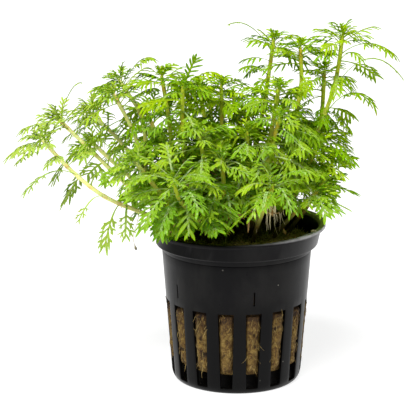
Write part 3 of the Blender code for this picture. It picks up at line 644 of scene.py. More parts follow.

# One row a shoot, in millimetres: where its stem leaves the wool, the points that it bends through, its
# crown, how many leaves grow by rule and how long the longest is. Each reach is a leaf given one by one: how
# far up the stem it grows, as a share, the place of its tip, and how high it arches.
shootTable = [
    # Left side, leaning out over the rim
    dict(foot=(-17, -2), bends=[(-35, -6, 58), (-44, -5, 62), (-52, -5, 69), (-59, -5, 75)],
         crown=(-62, -5, 80), leaves=6, length=12,
         reach=[(0.93, (-72, -8, 74), 2), (0.7, (-67, -12, 63), 4), (0.5, (-50, -12, 54), 3),
                (0.4, (-42, -10, 45), 3), (0.36, (-35, -17, 50), 3), (0.6, (-41, -13, 67), 4),
                (0.85, (-60, -9, 71), 1), (0.97, (-58, -4, 84), 2)]),
    dict(foot=(-13, 1), bends=[(-28, 0, 57), (-39, 3, 66), (-49, 7, 75)], crown=(-58, 8, 84),
         leaves=6, length=13,
         reach=[(0.97, (-50, 8, 95), 3), (0.9, (-69, 6, 80), 2), (0.94, (-61, 6, 87), 1),
                (0.72, (-49, 0, 71), 4), (0.6, (-38, -1, 71), 4), (0.78, (-43, 2, 77), 2)]),
    dict(foot=(-15, 6), bends=[(-28, 7, 59), (-37, 10, 66)], crown=(-47, 12, 75), leaves=6, length=13,
         reach=[]),
    dict(foot=(-11, 10), bends=[(-27, 12, 62), (-37, 14, 74)], crown=(-48, 17, 84), leaves=7, length=14,
         reach=[]),
    dict(foot=(-9, 5), bends=[(-23, 6, 60), (-30, 8, 75), (-31, 9, 86)], crown=(-38, 10, 96),
         leaves=7, length=14,
         reach=[(0.95, (-27, 8, 103), 3)]),
    dict(foot=(-14, -6), bends=[(-26, -4, 63), (-32, -1, 79)], crown=(-39, 0, 93), leaves=7, length=14,
         reach=[]),
    dict(foot=(-12, -11), bends=[(-21, -14, 60)], crown=(-32, -17, 75), leaves=7, length=16,
         reach=[(0.9, (-38, -22, 73), 2), (0.8, (-35, -26, 66), 3)]),
    # Middle
    dict(foot=(-7, 0), bends=[(-18, 4, 62), (-21, 5, 80)], crown=(-24, 6, 98), leaves=8, length=16,
         reach=[(0.85, (-33, 3, 91), 2)]),
    dict(foot=(-9, -5), bends=[(-15, -8, 64), (-17, -6, 80)], crown=(-17, -5, 97), leaves=6, length=16,
         reach=[(0.95, (-13, -5, 105), 1), (0.93, (-6, -4, 100), 3)]),
    dict(foot=(-4, 4), bends=[(-7, 2, 61), (-5, 4, 80)], crown=(-5, 5, 95), leaves=7, length=17, reach=[]),
    dict(foot=(-1, 11), bends=[(0, 14, 60), (2, 18, 72)], crown=(-1, 20, 88), leaves=7, length=15,
         reach=[]),
    dict(foot=(-7, -10), bends=[(-9, -14, 65)], crown=(-12, -16, 84), leaves=7, length=17, reach=[]),
    dict(foot=(0, -4), bends=[(3, -8, 64)], crown=(3, -10, 83), leaves=7, length=16, reach=[]),
    dict(foot=(-2, -13), bends=[(-5, -17, 62), (-4, -18, 70)], crown=(-5, -19, 77), leaves=4, length=17,
         reach=[(0.9, (6, -26, 68), 4), (0.8, (-15, -27, 71), 3), (0.6, (-2, -29, 58), 4),
                (0.5, (-8, -27, 56), 4), (0.93, (-10, -20, 82), 1)]),
    dict(foot=(-9, -15), bends=[(-13, -20, 58), (-18, -26, 65)], crown=(-20, -31, 73), leaves=4, length=18,
         reach=[(0.93, (-33, -33, 72), 2), (0.74, (-29, -37, 58), 4), (0.7, (-12, -42, 65), 4),
                (0.92, (-9, -38, 74), 2), (0.8, (-6, -36, 70), 3), (0.96, (-14, -29, 79), 1),
                (0.97, (-22, -26, 82), 1), (0.95, (-30, -28, 79), 1), (0.55, (-15, -33, 55), 4),
                (0.62, (-24, -36, 56), 4)]),
    # Right side, with the three tall shoots
    dict(foot=(2, 6), bends=[(5, 9, 66), (9, 13, 88)], crown=(12, 15, 108), leaves=6, length=14,
         reach=[(0.93, (-3, 12, 113), 4), (0.88, (2, 10, 102), 1), (0.95, (20, 13, 109), 2),
                (0.8, (3, 8, 102), 2)]),
    dict(foot=(5, 1), bends=[(9, 0, 60), (15, 2, 74), (20, 4, 92)], crown=(20, 5, 107),
         leaves=8, length=14, reach=[]),
    dict(foot=(10, 1), bends=[(14, 2, 60), (22, 2, 73), (30, 0, 93)], crown=(33, 0, 112),
         leaves=5, length=15,
         reach=[(0.95, (43, 2, 114), 1), (0.9, (50, -2, 105), 4), (0.72, (52, -6, 98), 9),
                (0.6, (43, -8, 90), 6), (0.95, (25, 3, 113), 1), (0.86, (38, -6, 105), 3),
                (0.75, (36, -5, 95), 3), (0.97, (30, -3, 116), 1)]),
    dict(foot=(12, 6), bends=[(17, 8, 60), (26, 10, 74)], crown=(28, 10, 99), leaves=8, length=14,
         reach=[]),
    dict(foot=(5, -4), bends=[(7, -8, 64), (10, -6, 78)], crown=(13, -5, 96), leaves=7, length=16,
         reach=[]),
    dict(foot=(4, -9), bends=[(6, -13, 62), (10, -13, 76)], crown=(13, -13, 88), leaves=6, length=16,
         reach=[]),
    dict(foot=(5, -15), bends=[(7, -20, 58), (9, -24, 64)], crown=(11, -29, 71), leaves=4, length=15,
         reach=[(0.93, (20, -33, 75), 2), (0.84, (16, -36, 63), 4), (0.78, (8, -42, 68), 3),
                (0.7, (4, -34, 61), 4), (0.9, (1, -33, 69), 2), (0.96, (6, -27, 77), 1),
                (0.97, (16, -27, 79), 1)]),
    dict(foot=(11, -4), bends=[(16, -4, 60)], crown=(25, -6, 76), leaves=4, length=15,
         reach=[(0.93, (36, -8, 73), 3), (0.97, (29, -5, 81), 1), (0.9, (18, -12, 79), 2),
                (0.8, (19, -16, 71), 3), (0.75, (28, -12, 69), 3)]),
    dict(foot=(12, -9), bends=[(18, -11, 57)], crown=(25, -15, 65), leaves=4, length=14,
         reach=[(0.93, (30, -16, 63), 2), (0.76, (27, -23, 59), 4), (0.9, (18, -21, 70), 1),
                (0.96, (28, -13, 70), 1)]),
    dict(foot=(16, 3), bends=[(19, 5, 60)], crown=(28, 5, 79), leaves=7, length=14,
         reach=[(0.95, (34, 3, 80), 2)]),
    dict(foot=(17, -2), bends=[(22, -1, 56)], crown=(28, -4, 67), leaves=6, length=12,
         reach=[(0.92, (35, -4, 70), 2), (0.84, (32, -8, 68), 2)]),
    # Back
    dict(foot=(-8, 14), bends=[(-19, 20, 62)], crown=(-30, 30, 82), leaves=7, length=17, reach=[]),
    dict(foot=(-2, 16), bends=[(-5, 25, 62)], crown=(-9, 37, 84), leaves=7, length=17, reach=[]),
    dict(foot=(4, 14), bends=[(11, 24, 62)], crown=(16, 35, 82), leaves=7, length=17, reach=[]),
    dict(foot=(9, 11), bends=[(21, 18, 60)], crown=(28, 26, 76), leaves=7, length=16, reach=[]),
    dict(foot=(-6, 9), bends=[(-8, 15, 66)], crown=(-12, 20, 92), leaves=6, length=16, reach=[]),
]


# A smooth route: a Catmull-Rom curve through the points, as Bezier stretches whose handles stand a sixth of
# the way between a point's neighbours, read again at even steps of its length.
def routeThrough(points, step):
    points = [np.array(p, float) for p in points]
    ends = [2 * points[0] - points[1], *points, 2 * points[-1] - points[-2]]
    curve = [points[0]]
    for before, start, end, after in zip(ends, ends[1:], ends[2:], ends[3:]):
        handles = (Vector(start + (end - before) / 6), Vector(end - (after - start) / 6))
        stretch = interpolate_bezier(Vector(start), *handles, Vector(end), growth["curveSamples"])
        curve += [np.array(p) for p in stretch[1:]]
    curve = np.array(curve)
    run = np.concatenate([[0], np.cumsum(np.linalg.norm(np.diff(curve, axis=0), axis=1))])
    count = max(4, round(run[-1] / step) + 1)
    even = np.linspace(0, run[-1], count)
    return np.stack([np.interp(even, run, curve[:, i]) for i in range(3)], axis=1)


# The point at a distance along a route, and the heading of the straight stretch that it stands on.
def along(route, distance):
    run = np.concatenate([[0], np.cumsum(np.linalg.norm(np.diff(route, axis=0), axis=1))])
    point = np.array([np.interp(distance, run, route[:, i]) for i in range(3)])
    stretch = min(np.searchsorted(run, distance, side="right"), len(route) - 1)
    heading = route[stretch] - route[stretch - 1]
    return point, heading / np.linalg.norm(heading)


# The lengths of its straight stretches, added up.
def routeLength(route):
    return np.linalg.norm(np.diff(route, axis=0), axis=1).sum()


# A midrib is a parabola: root * (1 - s)^2 + pull * 2s(1 - s) + tip * s^2.
def midrib(leaf, share):
    share = np.asarray(share)[..., None]
    return (1 - share) ** 2 * leaf["root"] + 2 * share * (1 - share) * leaf["pull"] + share**2 * leaf["tip"]


# The blade's heading, side and up. The heading is the parabola's: (1 - s) * (pull - root) + s * (tip -
# pull). The side is one direction all along, turned by the leaf's roll, and up is square to both.
def bladeFrame(leaf, share):
    root, pull, tip = leaf["root"], leaf["pull"], leaf["tip"]
    share = np.asarray(share)[..., None]
    heading = unit((1 - share) * (pull - root) + share * (tip - pull))
    roll = np.asarray(leaf["roll"])[..., None]
    side = np.cos(roll) * leaf["side"] + np.sin(roll) * np.cross(leaf["side"], heading)
    return heading, side, np.cross(side, heading)


# Points all over a leaf, and those on its outer two thirds, for the crowding test.
def leafPoints(leaf):
    outline = plainLeaf
    if leaf["length"] > growth["longLeaf"]:
        outline = toothedLeaf
    elif leaf["length"] < growth["shortLeaf"]:
        outline = youngLeaf
    shares, widths = np.array(outline).T
    widths = np.maximum(growth["petioleHalfWidth"], widths * growth["bladeWidth"] * leaf["length"])
    at = np.linspace(0, 1, int(leaf["length"] / growth["sample"]) + 2)
    half = np.interp(at, [*shares, 1], [*widths, 0])
    side = bladeFrame(leaf, at)[1]
    across = np.linspace(-1, 1, 7)[None, :, None]
    points = midrib(leaf, at)[:, None] + across * (half[:, None] * side)[:, None]
    return points.reshape(-1, 3), points[at > growth["bladeStart"]].reshape(-1, 3)


# True for points nearer than the margin to the pot or the plug.
def inPot(points, margin):
    s = potShape
    radius = np.hypot(points[:, 0], points[:, 1])
    overWool = radius < s["collarRadius"] - s["wall"] - s["lipShift"] - margin
    low = margin + np.where(overWool, woolShape["top"], s["height"] + points[:, 0] * np.tan(s["lipTilt"]))
    return (radius < s["lipRadius"] + s["lipShift"] + margin) & (points[:, 2] < low)


# True for a leaf that hangs below the bush's hem, which leaves the front of the plug in view. The hem's
# heights are seen from the front and a little above: z * cos(lift) + y * sin(lift).
def belowHem(points, heights):
    lift = growth["hemView"]
    x, hem = np.array(heights).T * mm
    height = points[:, 2] * np.cos(lift) + points[:, 1] * np.sin(lift)
    return (height < np.interp(points[:, 0], x, hem)).any()


# Which cells of a fine grid each shoot fills, so that the next leaf grows where there is room. A point's
# cell is floor((point - low corner) / cell), and it fills that cell and the 26 round it.
class Crowd:
    def __init__(self, shoots):
        self.count = np.zeros(growth["gridCells"], np.int16)
        self.own = np.zeros((shoots, *growth["gridCells"]), bool)
        self.ownBlades = np.zeros((shoots, *growth["gridCells"]), bool)
        self.near = np.array(list(np.ndindex(3, 3, 3))) - 1

    def cells(self, points):
        return np.floor((points - growth["gridLow"]) / growth["cell"]).astype(int)

    def fill(self, shoot, points, blade=None):
        wide = (self.cells(points)[:, None] + self.near).reshape(-1, 3)
        wide = tuple(np.unique(wide, axis=0).T)
        self.count[wide] += ~self.own[shoot][wide]
        self.own[shoot][wide] = True
        if blade is not None:
            wide = (self.cells(blade)[:, None] + self.near).reshape(-1, 3)
            self.ownBlades[shoot][tuple(wide.T)] = True

    # The share of the points that stand in another shoot's cells, and of the blade's in its own shoot's
    # blades.
    def taken(self, shoot, points, blade=None):
        here = tuple(self.cells(points).T)
        others = (self.count[here] > self.own[shoot][here]).mean()
        if blade is None:
            return others, 0
        return others, self.ownBlades[shoot][tuple(self.cells(blade).T)].mean()

    # Fills the leaf's cells and says so, if no more than a share of it stands in what is full.
    def grow(self, shoot, leaf, most=0):
        points, blade = leafPoints(leaf)
        touching = inPot(blade, growth["keel"] + growth["restGap"]).any()
        if touching or max(self.taken(shoot, points, blade)) > most:
            return False
        self.fill(shoot, points, blade)
        return True


# A leaf bends in the plane of root, pull and tip, and its upper side faces along its stem but for a little
# roll.
def newLeaf(root, pull, tip, axis, roll):
    side = np.cross(pull - root, tip - pull)
    side /= np.linalg.norm(side)
    if np.cross(side, tip - root) @ (axis + [0, 0, 0.5]) < 0:
        side = -side
    return dict(root=root, pull=pull, tip=tip, side=side, roll=roll, length=np.linalg.norm(tip - root))


# A leaf by its heading: tip = root + length * heading, and lower by droop * length.
def leafToward(root, axis, heading, length, droop, roll):
    fall = np.array([0, 0, droop * length])
    return newLeaf(root, root + heading * length / 2, root + heading * length - fall, axis, roll)


# A leaf by its tip. The pull is the middle lifted by twice the arch, so that the parabola rises by the arch.
def leafTo(root, axis, tip, arch):
    return newLeaf(root, (root + tip) / 2 + np.array([0, 0, 2 * arch]), tip, axis, 0)


# A direction square to the stem, turned round it: cos turn * across + sin turn * (axis x across).
def sideDirection(axis, turn):
    across = unit(np.cross(axis, [0.31, 0.95, 0.05]))
    return np.cos(turn) * across + np.sin(turn) * np.cross(axis, across)


# The leaf that grows here by rule, and then its likeliest changes where there is no room. Leaves stand
# further apart and more tilted with each rank from the crown, by spacing * (growth^rank - 1) / (growth -
# 1), and each is turned by the golden angle from the last.
def leafChoices(route, shoot, number, rank):
    g = growth
    wider = g["spacingGrowth"]
    fromCrown = g["firstLeaf"] + g["leafSpacing"] * (wider**rank - 1) / (wider - 1)
    root, axis = along(route, max(routeLength(route) - fromCrown, g["lowestLeaf"]))
    length = shoot["length"] * mm * min(1, g["crownLeaf"] + g["leafGain"] * rank)
    lying, upright = g["crownTilts"]
    tilt = min(lying + (upright - lying) * axis[2] ** 4 + g["tiltGain"] * rank, g["mostTilt"])
    turn = g["goldenAngle"] * rank + g["shootTurn"] * number
    byShoot, byRank = g["rollTurns"]
    roll = g["mostRoll"] * np.sin(byShoot * number + byRank * rank)
    upDroop, lyingDroop = g["droops"]
    for shorter in g["shorter"]:
        for steeper in g["steeper"]:
            for aside in g["aside"]:
                lean = np.radians(tilt + steeper)
                across = sideDirection(axis, turn + np.radians(aside))
                heading = np.cos(lean) * axis + np.sin(lean) * across
                droop = upDroop + lyingDroop * np.sin(lean)
                yield leafToward(root, axis, heading, shorter * length, droop, roll)


# Four points round the stem at every sample along it.
def stemCrowdPoints(route):
    distances = np.arange(0, routeLength(route), growth["sample"])
    middles = np.array([along(route, d)[0] for d in distances])
    turns = np.radians([0, 90, 180, 270])
    ring = growth["stemRadius"] * np.stack([np.cos(turns), np.sin(turns), 0 * turns], axis=1)
    return (middles[:, None] + ring).reshape(-1, 3)


# Every stem's route and every leaf, each where it touches no other shoot, nor the pot, nor the plug.
def planShoots(crowd):
    g = growth
    routes = []
    for number, shoot in enumerate(shootTable):
        foot = (*shoot["foot"], (woolShape["top"] + g["restGap"]) / mm)
        for shift in g["stemShifts"]:
            bends = [(x, y + shift, z) for x, y, z in shoot["bends"]]
            route = routeThrough([foot, *bends, shoot["crown"]], g["stemStep"] / mm) * mm
            points = stemCrowdPoints(route)
            if crowd.taken(number, points)[0] == 0 and not inPot(points, g["restGap"] / 2).any():
                break
        crowd.fill(number, stemCrowdPoints(route))
        routes.append(route)
    leaves = [[] for _ in shootTable]
    for number, shoot in enumerate(shootTable):
        for share, tip, arch in shoot["reach"]:
            root, axis = along(routes[number], share * routeLength(routes[number]))
            for nudge in g["tipNudges"]:
                leaf = leafTo(root, axis, (np.array(tip) + nudge) * mm, arch * mm)
                if crowd.grow(number, leaf):
                    leaf["roll"] = g["rolled"].get(tip, 0)
                    leaf["blade"] = g["drawnOut"].get(tip)
                    leaves[number].append(leaf)
                    break
    for rank in range(max(shoot["leaves"] for shoot in shootTable)):
        for number, shoot in enumerate(shootTable):
            if rank >= shoot["leaves"]:
                continue
            for leaf in leafChoices(routes[number], shoot, number, rank):
                if not belowHem(leafPoints(leaf)[1], growth["hem"]) and crowd.grow(number, leaf):
                    leaves[number].append(leaf)
                    break
    return routes, leaves


crownLook = {
    "leaves": 15,
    "lengths": (3.0, 12.0),
    "starLengths": (2.0, 6.0),  # of the two rosettes in front, whose outer leaves are given one by one
    "starFrom": -25,
    "tilts": (10, 78),
    "spread": 3.4 * mm,
    "droop": 0.2,
}


filling = {
    "ranks": [*np.arange(0.5, 4.5, 0.5), *np.arange(4.5, 9, 0.25)],
    "most": 0.5,  # the share of a leaf that may stand in a neighbour's gaps
    "sparse": 1.5,  # the last rank of the shoots that stand apart on the left and rise above the rest
    "sparseLeft": -34,
    "sparseTop": 104,
    "pastOwn": 1.5,
    "starRank": 3,
    "otherTurn": 0.37,
    "hem": [(-75, 90), (-58, 78), (-48, 68), (-40, 58), (-31, 51), (-25, 45), (-12, 45), (-4, 47), (1, 50),
            (5, 53), (8, 54), (13, 54), (17, 57), (23, 60), (29, 61), (32, 63), (35, 67), (37, 73), (39, 92),
            (60, 100)],
}


# Leaves between the solids' own, by the same rule, at ranks between theirs. They may reach into a
# neighbour's gaps as they do in a real bush, but not past the solids' box.
def fillShoots(crowd, routes, leaves):
    s = filling
    low, high = np.array(cadBox)
    for rank in s["ranks"]:
        for number, shoot in enumerate(shootTable):
            x, y, z = shoot["crown"]
            apart = x < s["sparseLeft"] or z > s["sparseTop"]
            last = s["sparse"] if apart else shoot["leaves"] + s["pastOwn"]
            if rank > last or y < crownLook["starFrom"] and rank < s["starRank"]:
                continue
            for leaf in leafChoices(routes[number], shoot, number + s["otherTurn"], rank):
                blade = leafPoints(leaf)[1]
                inside = (blade > low).all() and (blade < high).all()
                if inside and not belowHem(blade, s["hem"]) and crowd.grow(number, leaf, s["most"]):
                    leaves[number].append(leaf)
                    break


# Shoots: one piece each, of a stem, its leaves with their lobes, and the youngest leaves of its crown.

stemLook = {
    "sides": 10,
    "ringStep": 0.9 * mm,
    "sunk": 2.5 * mm,
    "knot": 0.2,
    "knotLength": 0.9 * mm,
    "flute": 0.05,
    "dome": (0.95, 0.8, 0.4),
    "paleFrom": (-20 * mm, -42 * mm),
}


# A stem is a fluted ring carried along a smooth curve through its route, thicker at each leaf, with a domed
# tip: radius = taper * (1 + flute * cos(5 turn)) * (1 + knot * exp(-(way to a leaf / knot length)^2)).
def stemPart(route, leaves):
    s = stemLook
    sunk = route[0] - np.array([0, 0, s["sunk"]])
    path = routeThrough(np.array([sunk, *route]) / mm, s["ringStep"] / mm) * mm
    share = np.linspace(0, 1, len(path))
    radius = growth["stemRadius"] + share * (growth["stemTipRadius"] - growth["stemRadius"])
    roots = np.array([leaf["root"] for leaf in leaves])
    away = np.linalg.norm(path[:, None] - roots[None], axis=2).min(axis=1)
    radius = radius * (1 + s["knot"] * np.exp(-((away / s["knotLength"]) ** 2)))
    radius[-3:] *= s["dome"]
    turn = np.linspace(0, 2 * np.pi, s["sides"], endpoint=False)
    ring = radius[:, None] * (1 + s["flute"] * np.cos(5 * turn))
    points, faces = tube(path, ring, turn, [0.2, 1.0, 0.1])
    values = {
        "joint": np.exp(-((away / mm) ** 2)),
        "share": share,
        "pale": smoothstep(*s["paleFrom"], path[:, 0]),
    }
    return points, faces, 1, {key: np.repeat(value, s["sides"]) for key, value in values.items()}


leafLook = {
    # The midrib: shares of its length, and its half width at each
    "ribShares": np.array([0, 0.05, 0.12, 0.22, 0.34, 0.45, 0.57, 0.69, 0.8, 0.9, 0.97, 1.0]),
    "ribHalfWidths": np.array([0.62, 0.46, 0.34, 0.30, 0.32, 0.44, 0.46, 0.43, 0.40, 0.38, 0.26, 0.08]) * mm,
    "ribDepth": 0.34 * mm,
    "ribFull": 17 * mm,  # the leaf whose midrib has just that width
    # Lobes: how far apart the pairs are, and how much further on a longer leaf, and the least and most pairs
    "pairStep": (1.1 * mm, 0.05),
    "pairs": (3, 9),
    "stagger": 0.16,
    "placeJitter": 0.12,
    "lastLobe": 0.985,
    "lobeReach": 0.52,
    "longestLobe": 4.9 * mm,
    "raised": 0.12,
    "swell": (0.42, 0.58, 0.12, 0.8),
    "lobeLine": [(0, 0.8), (0.3, 0.95), (0.64, 1.0), (0.88, 0.64), (1, 0.12)],
    "lobeWidth": 0.26 * mm,
    "lobeWidthGain": 0.009,
    "lobeDepth": 0.16 * mm,
    "openAngle": (64, 28),
    "openJitter": 7,
    "hang": (0.5, 0.12),  # of high leaves and of low ones
    "fall": np.array([0, 0, 0.6]),
    "forward": 0.22,
    "twist": 22,
    "jitter": 0.16,
    # Side teeth: at which share of the lobe, turned by how many degrees, and what share of its length
    "forks": [(0.42, -38, 0.55), (0.55, 34, 0.42)],
    "forkLine": [(0, 0.7), (0.45, 1.0), (0.82, 0.7), (1, 0.12)],
    "forkLength": 12.0 * mm,
    "forkPlace": 0.8,
    "forkWidth": 0.82,
    "forkJitter": 0.3,
}

# What the leaf's material reads off every point of it: how far it has aged, which also sets its painted
# shade, its tone of green, how pale its shoot is and how strong the painted highlight on its ribs is.
shades = ("age", "tone", "pale", "silver")


# Values given to every point of a grid.
def everywhere(values, shape):
    return {key: np.broadcast_to(value, shape).ravel() for key, value in values.items()}


# A list of leaves made into columns, one row a leaf.
def stacked(leaves):
    keys = ("root", "pull", "tip", "side", "roll", "length", "start", "breadth", "hang", *shades)
    table = {key: np.array([leaf[key] for leaf in leaves], float) for key in keys}
    return {key: value[:, None] for key, value in table.items()}


# The midrib and petiole: a shallow channel carried along the leaf's parabola. Its width is the half widths
# * size, with size = (length / full length)^0.6.
def ribPart(leaf):
    s = leafLook
    share = np.broadcast_to(s["ribShares"], (len(leaf["length"]), len(s["ribShares"])))
    size = np.clip(leaf["length"] / s["ribFull"], 0.25, 1.15) ** 0.6
    half = size * s["ribHalfWidths"]
    side, up = bladeFrame(leaf, share)[1:]
    across = half[..., None] * np.array([1, 0, -1, 0])
    depth = s["ribDepth"] * size * np.clip(s["ribHalfWidths"] / s["ribHalfWidths"].max(), 0.3, 1)
    lift = half[..., None] * np.array([0.10, -0.18, 0.10, 0]) - depth[..., None] * np.array([0, 0, 0, 1])
    points, faces = carried(midrib(leaf, share), side, up, across, lift)
    values = {
        "rib": 0.45 + 0.55 * (1 - share[..., None]) * np.array([0.75, 1, 0.75, 0.9]),
        "under": np.array([0, 0, 0, 1]),
        "tip": np.maximum(share[..., None] - 0.9, 0) * 4,
        **{key: leaf[key][..., None] for key in shades},
    }
    return points, faces, 0, everywhere(values, across.shape)


# A lobe's line: base + length * (t * heading + bend * t^2 * forward - hang * t^2 * fall), with a pointed
# strip carried along it.
def lobePart(lobe, line):
    s = leafLook
    shares, widths = np.array(line).T
    t = shares[None, :, None]
    length = lobe["length"][:, None, None]
    fall = 0.5 * lobe["up"][:, None] + s["fall"]
    pull = lobe["bend"][:, None, None] * lobe["forward"][:, None] - lobe["hang"][:, None, None] * fall
    path = lobe["base"][:, None] + length * (t * lobe["heading"][:, None] + t**2 * pull)
    heading = unit(lobe["heading"][:, None] + 2 * t * pull)
    side = unit(np.cross(lobe["heading"], lobe["up"]))
    twist = lobe["twist"][:, None]
    side = np.cos(twist) * side + np.sin(twist) * np.cross(side, lobe["heading"])
    side = np.broadcast_to(side[:, None], heading.shape)
    up = unit(np.cross(side, heading))
    half = lobe["width"][:, None] * widths
    across = half[..., None] * np.array([1, 0, -1, 0])
    depth = np.minimum(s["lobeDepth"], 0.7 * half)
    lift = half[..., None] * np.array([0, -0.16, 0, -0.1]) - depth[..., None] * np.array([0, 0, 0, 1])
    points, faces = carried(path, side, up, across, lift)
    values = {
        "rib": np.array([0.0, 0.24, 0.0, 0.1]) * (1 - 0.75 * shares)[:, None],
        "under": np.array([0, 0, 0, 1]),
        "tip": shares[:, None],
        **{key: lobe[key][:, None, None] for key in shades},
    }
    return points, faces, 0, everywhere(values, across.shape)


# Lobes stand in pairs from the blade's start to its tip. They are longest near the middle: reach * (least +
# gain * sin(pi * (from + span * place))), with reach = most * (1 - exp(-lobeReach * length / most)). They
# open wide at the foot of the blade and point forward at its tip.
def lobesOf(leaf):
    s = leafLook
    count = len(leaf["length"])
    step, stepGain = s["pairStep"]
    pairs = leaf["length"][:, 0] * (1 - leaf["start"][:, 0]) / (step + stepGain * leaf["length"][:, 0])
    pairs = np.clip(np.round(pairs), *s["pairs"]).astype(int)
    owner = np.repeat(np.arange(count), 2 * pairs)
    order = np.arange(len(owner)) - np.repeat(np.cumsum(2 * pairs) - 2 * pairs, 2 * pairs)
    sign = 1 - 2 * (order % 2)
    shift = s["stagger"] * sign + s["placeJitter"] * rng.uniform(-1, 1, len(owner))
    place = (order // 2 + 0.5 + shift) / pairs[owner]
    start = leaf["start"][owner, 0]
    share = start + (s["lastLobe"] - start) * place
    own = {key: value[owner] for key, value in leaf.items()}
    heading, side, up = [v[:, 0] for v in bladeFrame(own, share[:, None])]
    base = midrib(own, share[:, None])[:, 0]
    opening = np.interp(place, (0, 1), s["openAngle"]) + s["openJitter"] * rng.uniform(-1, 1, len(owner))
    opening = np.radians(opening)[:, None]
    outward = np.sin(opening) * sign[:, None] * side + np.cos(opening) * heading
    wobble = 1 + s["jitter"] * rng.uniform(-1, 1, len(owner))
    full = own["length"][:, 0]
    most = s["longestLobe"] * own["breadth"][:, 0]
    reach = most * (1 - np.exp(-s["lobeReach"] * full / most))
    least, gain, swellFrom, swellSpan = s["swell"]
    return {
        "base": base,
        "heading": unit(outward + s["raised"] * up),
        "forward": heading,
        "up": up,
        "length": reach * wobble * (least + gain * np.sin(np.pi * (swellFrom + swellSpan * place))),
        "width": (s["lobeWidth"] + s["lobeWidthGain"] * full) * own["breadth"][:, 0] ** 0.8 * wobble,
        "bend": s["forward"] * wobble,
        "hang": own["hang"][:, 0] * wobble,
        "twist": np.radians(s["twist"]) * rng.uniform(-1, 1, len(owner)),
        "place": place,
        **{key: own[key][:, 0] for key in shades},
        "full": full,
    }


# Side teeth on the larger lobes: each starts at a share of its lobe's line and turns away from it by
# cos turn * line + sin turn * away.
def forksOf(lobe, at, turn, size):
    s = leafLook
    chosen = (lobe["full"] > s["forkLength"]) & (lobe["place"] < s["forkPlace"])
    fork = {key: value[chosen] for key, value in lobe.items()}
    side = unit(np.cross(fork["heading"], fork["up"]))
    away = np.sign((side * fork["forward"]).sum(axis=1))[:, None] * side
    fall = 0.5 * fork["up"] + s["fall"]
    pull = fork["bend"][:, None] * fork["forward"] - fork["hang"][:, None] * fall
    fork["base"] = fork["base"] + fork["length"][:, None] * (at * fork["heading"] + at**2 * pull)
    line = unit(fork["heading"] + 2 * at * pull)
    fork["heading"] = unit(np.cos(turn) * line + np.sin(turn) * away)
    fork["length"] = fork["length"] * size * (1 + s["forkJitter"] * rng.uniform(-1, 1, len(away)))
    fork["width"] = fork["width"] * s["forkWidth"]
    fork["bend"] = 0 * fork["bend"]
    return fork


# The youngest leaves stand round the stem's end, each longer and more open than the one inside it, turned
# from it by the golden angle.
def crownLeaves(route, number):
    s = crownLook
    star = shootTable[number]["crown"][1] < s["starFrom"]
    lengths = s["starLengths" if star else "lengths"]
    made = []
    for i in range(s["leaves"]):
        share = i / (s["leaves"] - 1)
        root, axis = along(route, routeLength(route) - s["spread"] * share)
        across = sideDirection(axis, growth["goldenAngle"] * i + number)
        lean = np.radians(np.interp(share, (0, 1), s["tilts"]))
        heading = np.cos(lean) * axis + np.sin(lean) * across
        length = np.interp(share, (0, 1), lengths) * mm
        made.append(leafToward(root, axis, heading, length, s["droop"], 0))
    return made


# Where what sets one leaf apart starts and is full
grades = {
    "oldAndShaded": (0, 26 * mm),  # from the crown
    "low": (80 * mm, 55 * mm),
    "sinks": (0, 14 * mm),
    "young": (4 * mm, 12 * mm),
    "youngStart": 0.16,
    "outward": (42 * mm, 47 * mm),
    "pale": (-26 * mm, -56 * mm),
    "silver": (-8 * mm, -24 * mm),
    "setPale": 0.8,
    "sinkStart": 0.2,  # how much further up the blade of a sinking leaf starts
    "lowBroader": 0.5,
    "outwardNarrower": 0.6,
    "hangRange": (0.7, 1.25),
}


# How far up a leaf its blade starts, how broad and hanging its lobes are, how far it has aged, which also
# sets its painted shade, its tone of green and the painted highlight on its ribs: breadth = (1 + lowBroader *
# low)
# * (1 - outwardNarrower * outward).
def gradeLeaves(leaves, crown):
    s = grades
    for leaf in leaves:
        root, tip = leaf["root"], leaf["tip"]
        low = within(*s["low"], tip[2])
        leaf["age"] = within(*s["oldAndShaded"], np.linalg.norm(root - crown))
        start = np.interp(leaf["length"], s["young"], (s["youngStart"], growth["bladeStart"]))
        leaf["start"] = start + s["sinkStart"] * within(*s["sinks"], root[2] - tip[2])
        outward = within(*s["outward"], abs(tip[1]))
        leaf["breadth"] = (1 + s["lowBroader"] * low) * (1 - s["outwardNarrower"] * outward)
        leaf["pale"] = within(*s["pale"], root[0])
        # A painted highlight on the ribs, stronger the further forward the leaf's tip stands.
        leaf["silver"] = within(*s["silver"], tip[1])
        if leaf.get("blade"):
            leaf["start"], leaf["breadth"] = leaf["blade"]
            leaf["pale"] = s["setPale"]
        leaf["hang"] = np.interp(low, (0, 1), leafLook["hang"]) * rng.uniform(*s["hangRange"])
        leaf["tone"] = rng.uniform(0, 1)


# A shoot's parts: stem, midribs, lobes and their side teeth.
def makeShoot(number, route, leaves, green, stemGreen):
    every = leaves + crownLeaves(route, number)
    gradeLeaves(every, route[-1])
    leaf = stacked(every)
    lobes = lobesOf(leaf)
    forks = [forksOf(lobes, at, np.radians(turn), size) for at, turn, size in leafLook["forks"]]
    parts = [stemPart(route, leaves), ribPart(leaf), lobePart(lobes, leafLook["lobeLine"])]
    parts += [lobePart(fork, leafLook["forkLine"]) for fork in forks]
    name = f"shoot_{number + 1:02d}"
    piece(f"leafy_{name}", parts, [green, stemGreen], [name], 50)
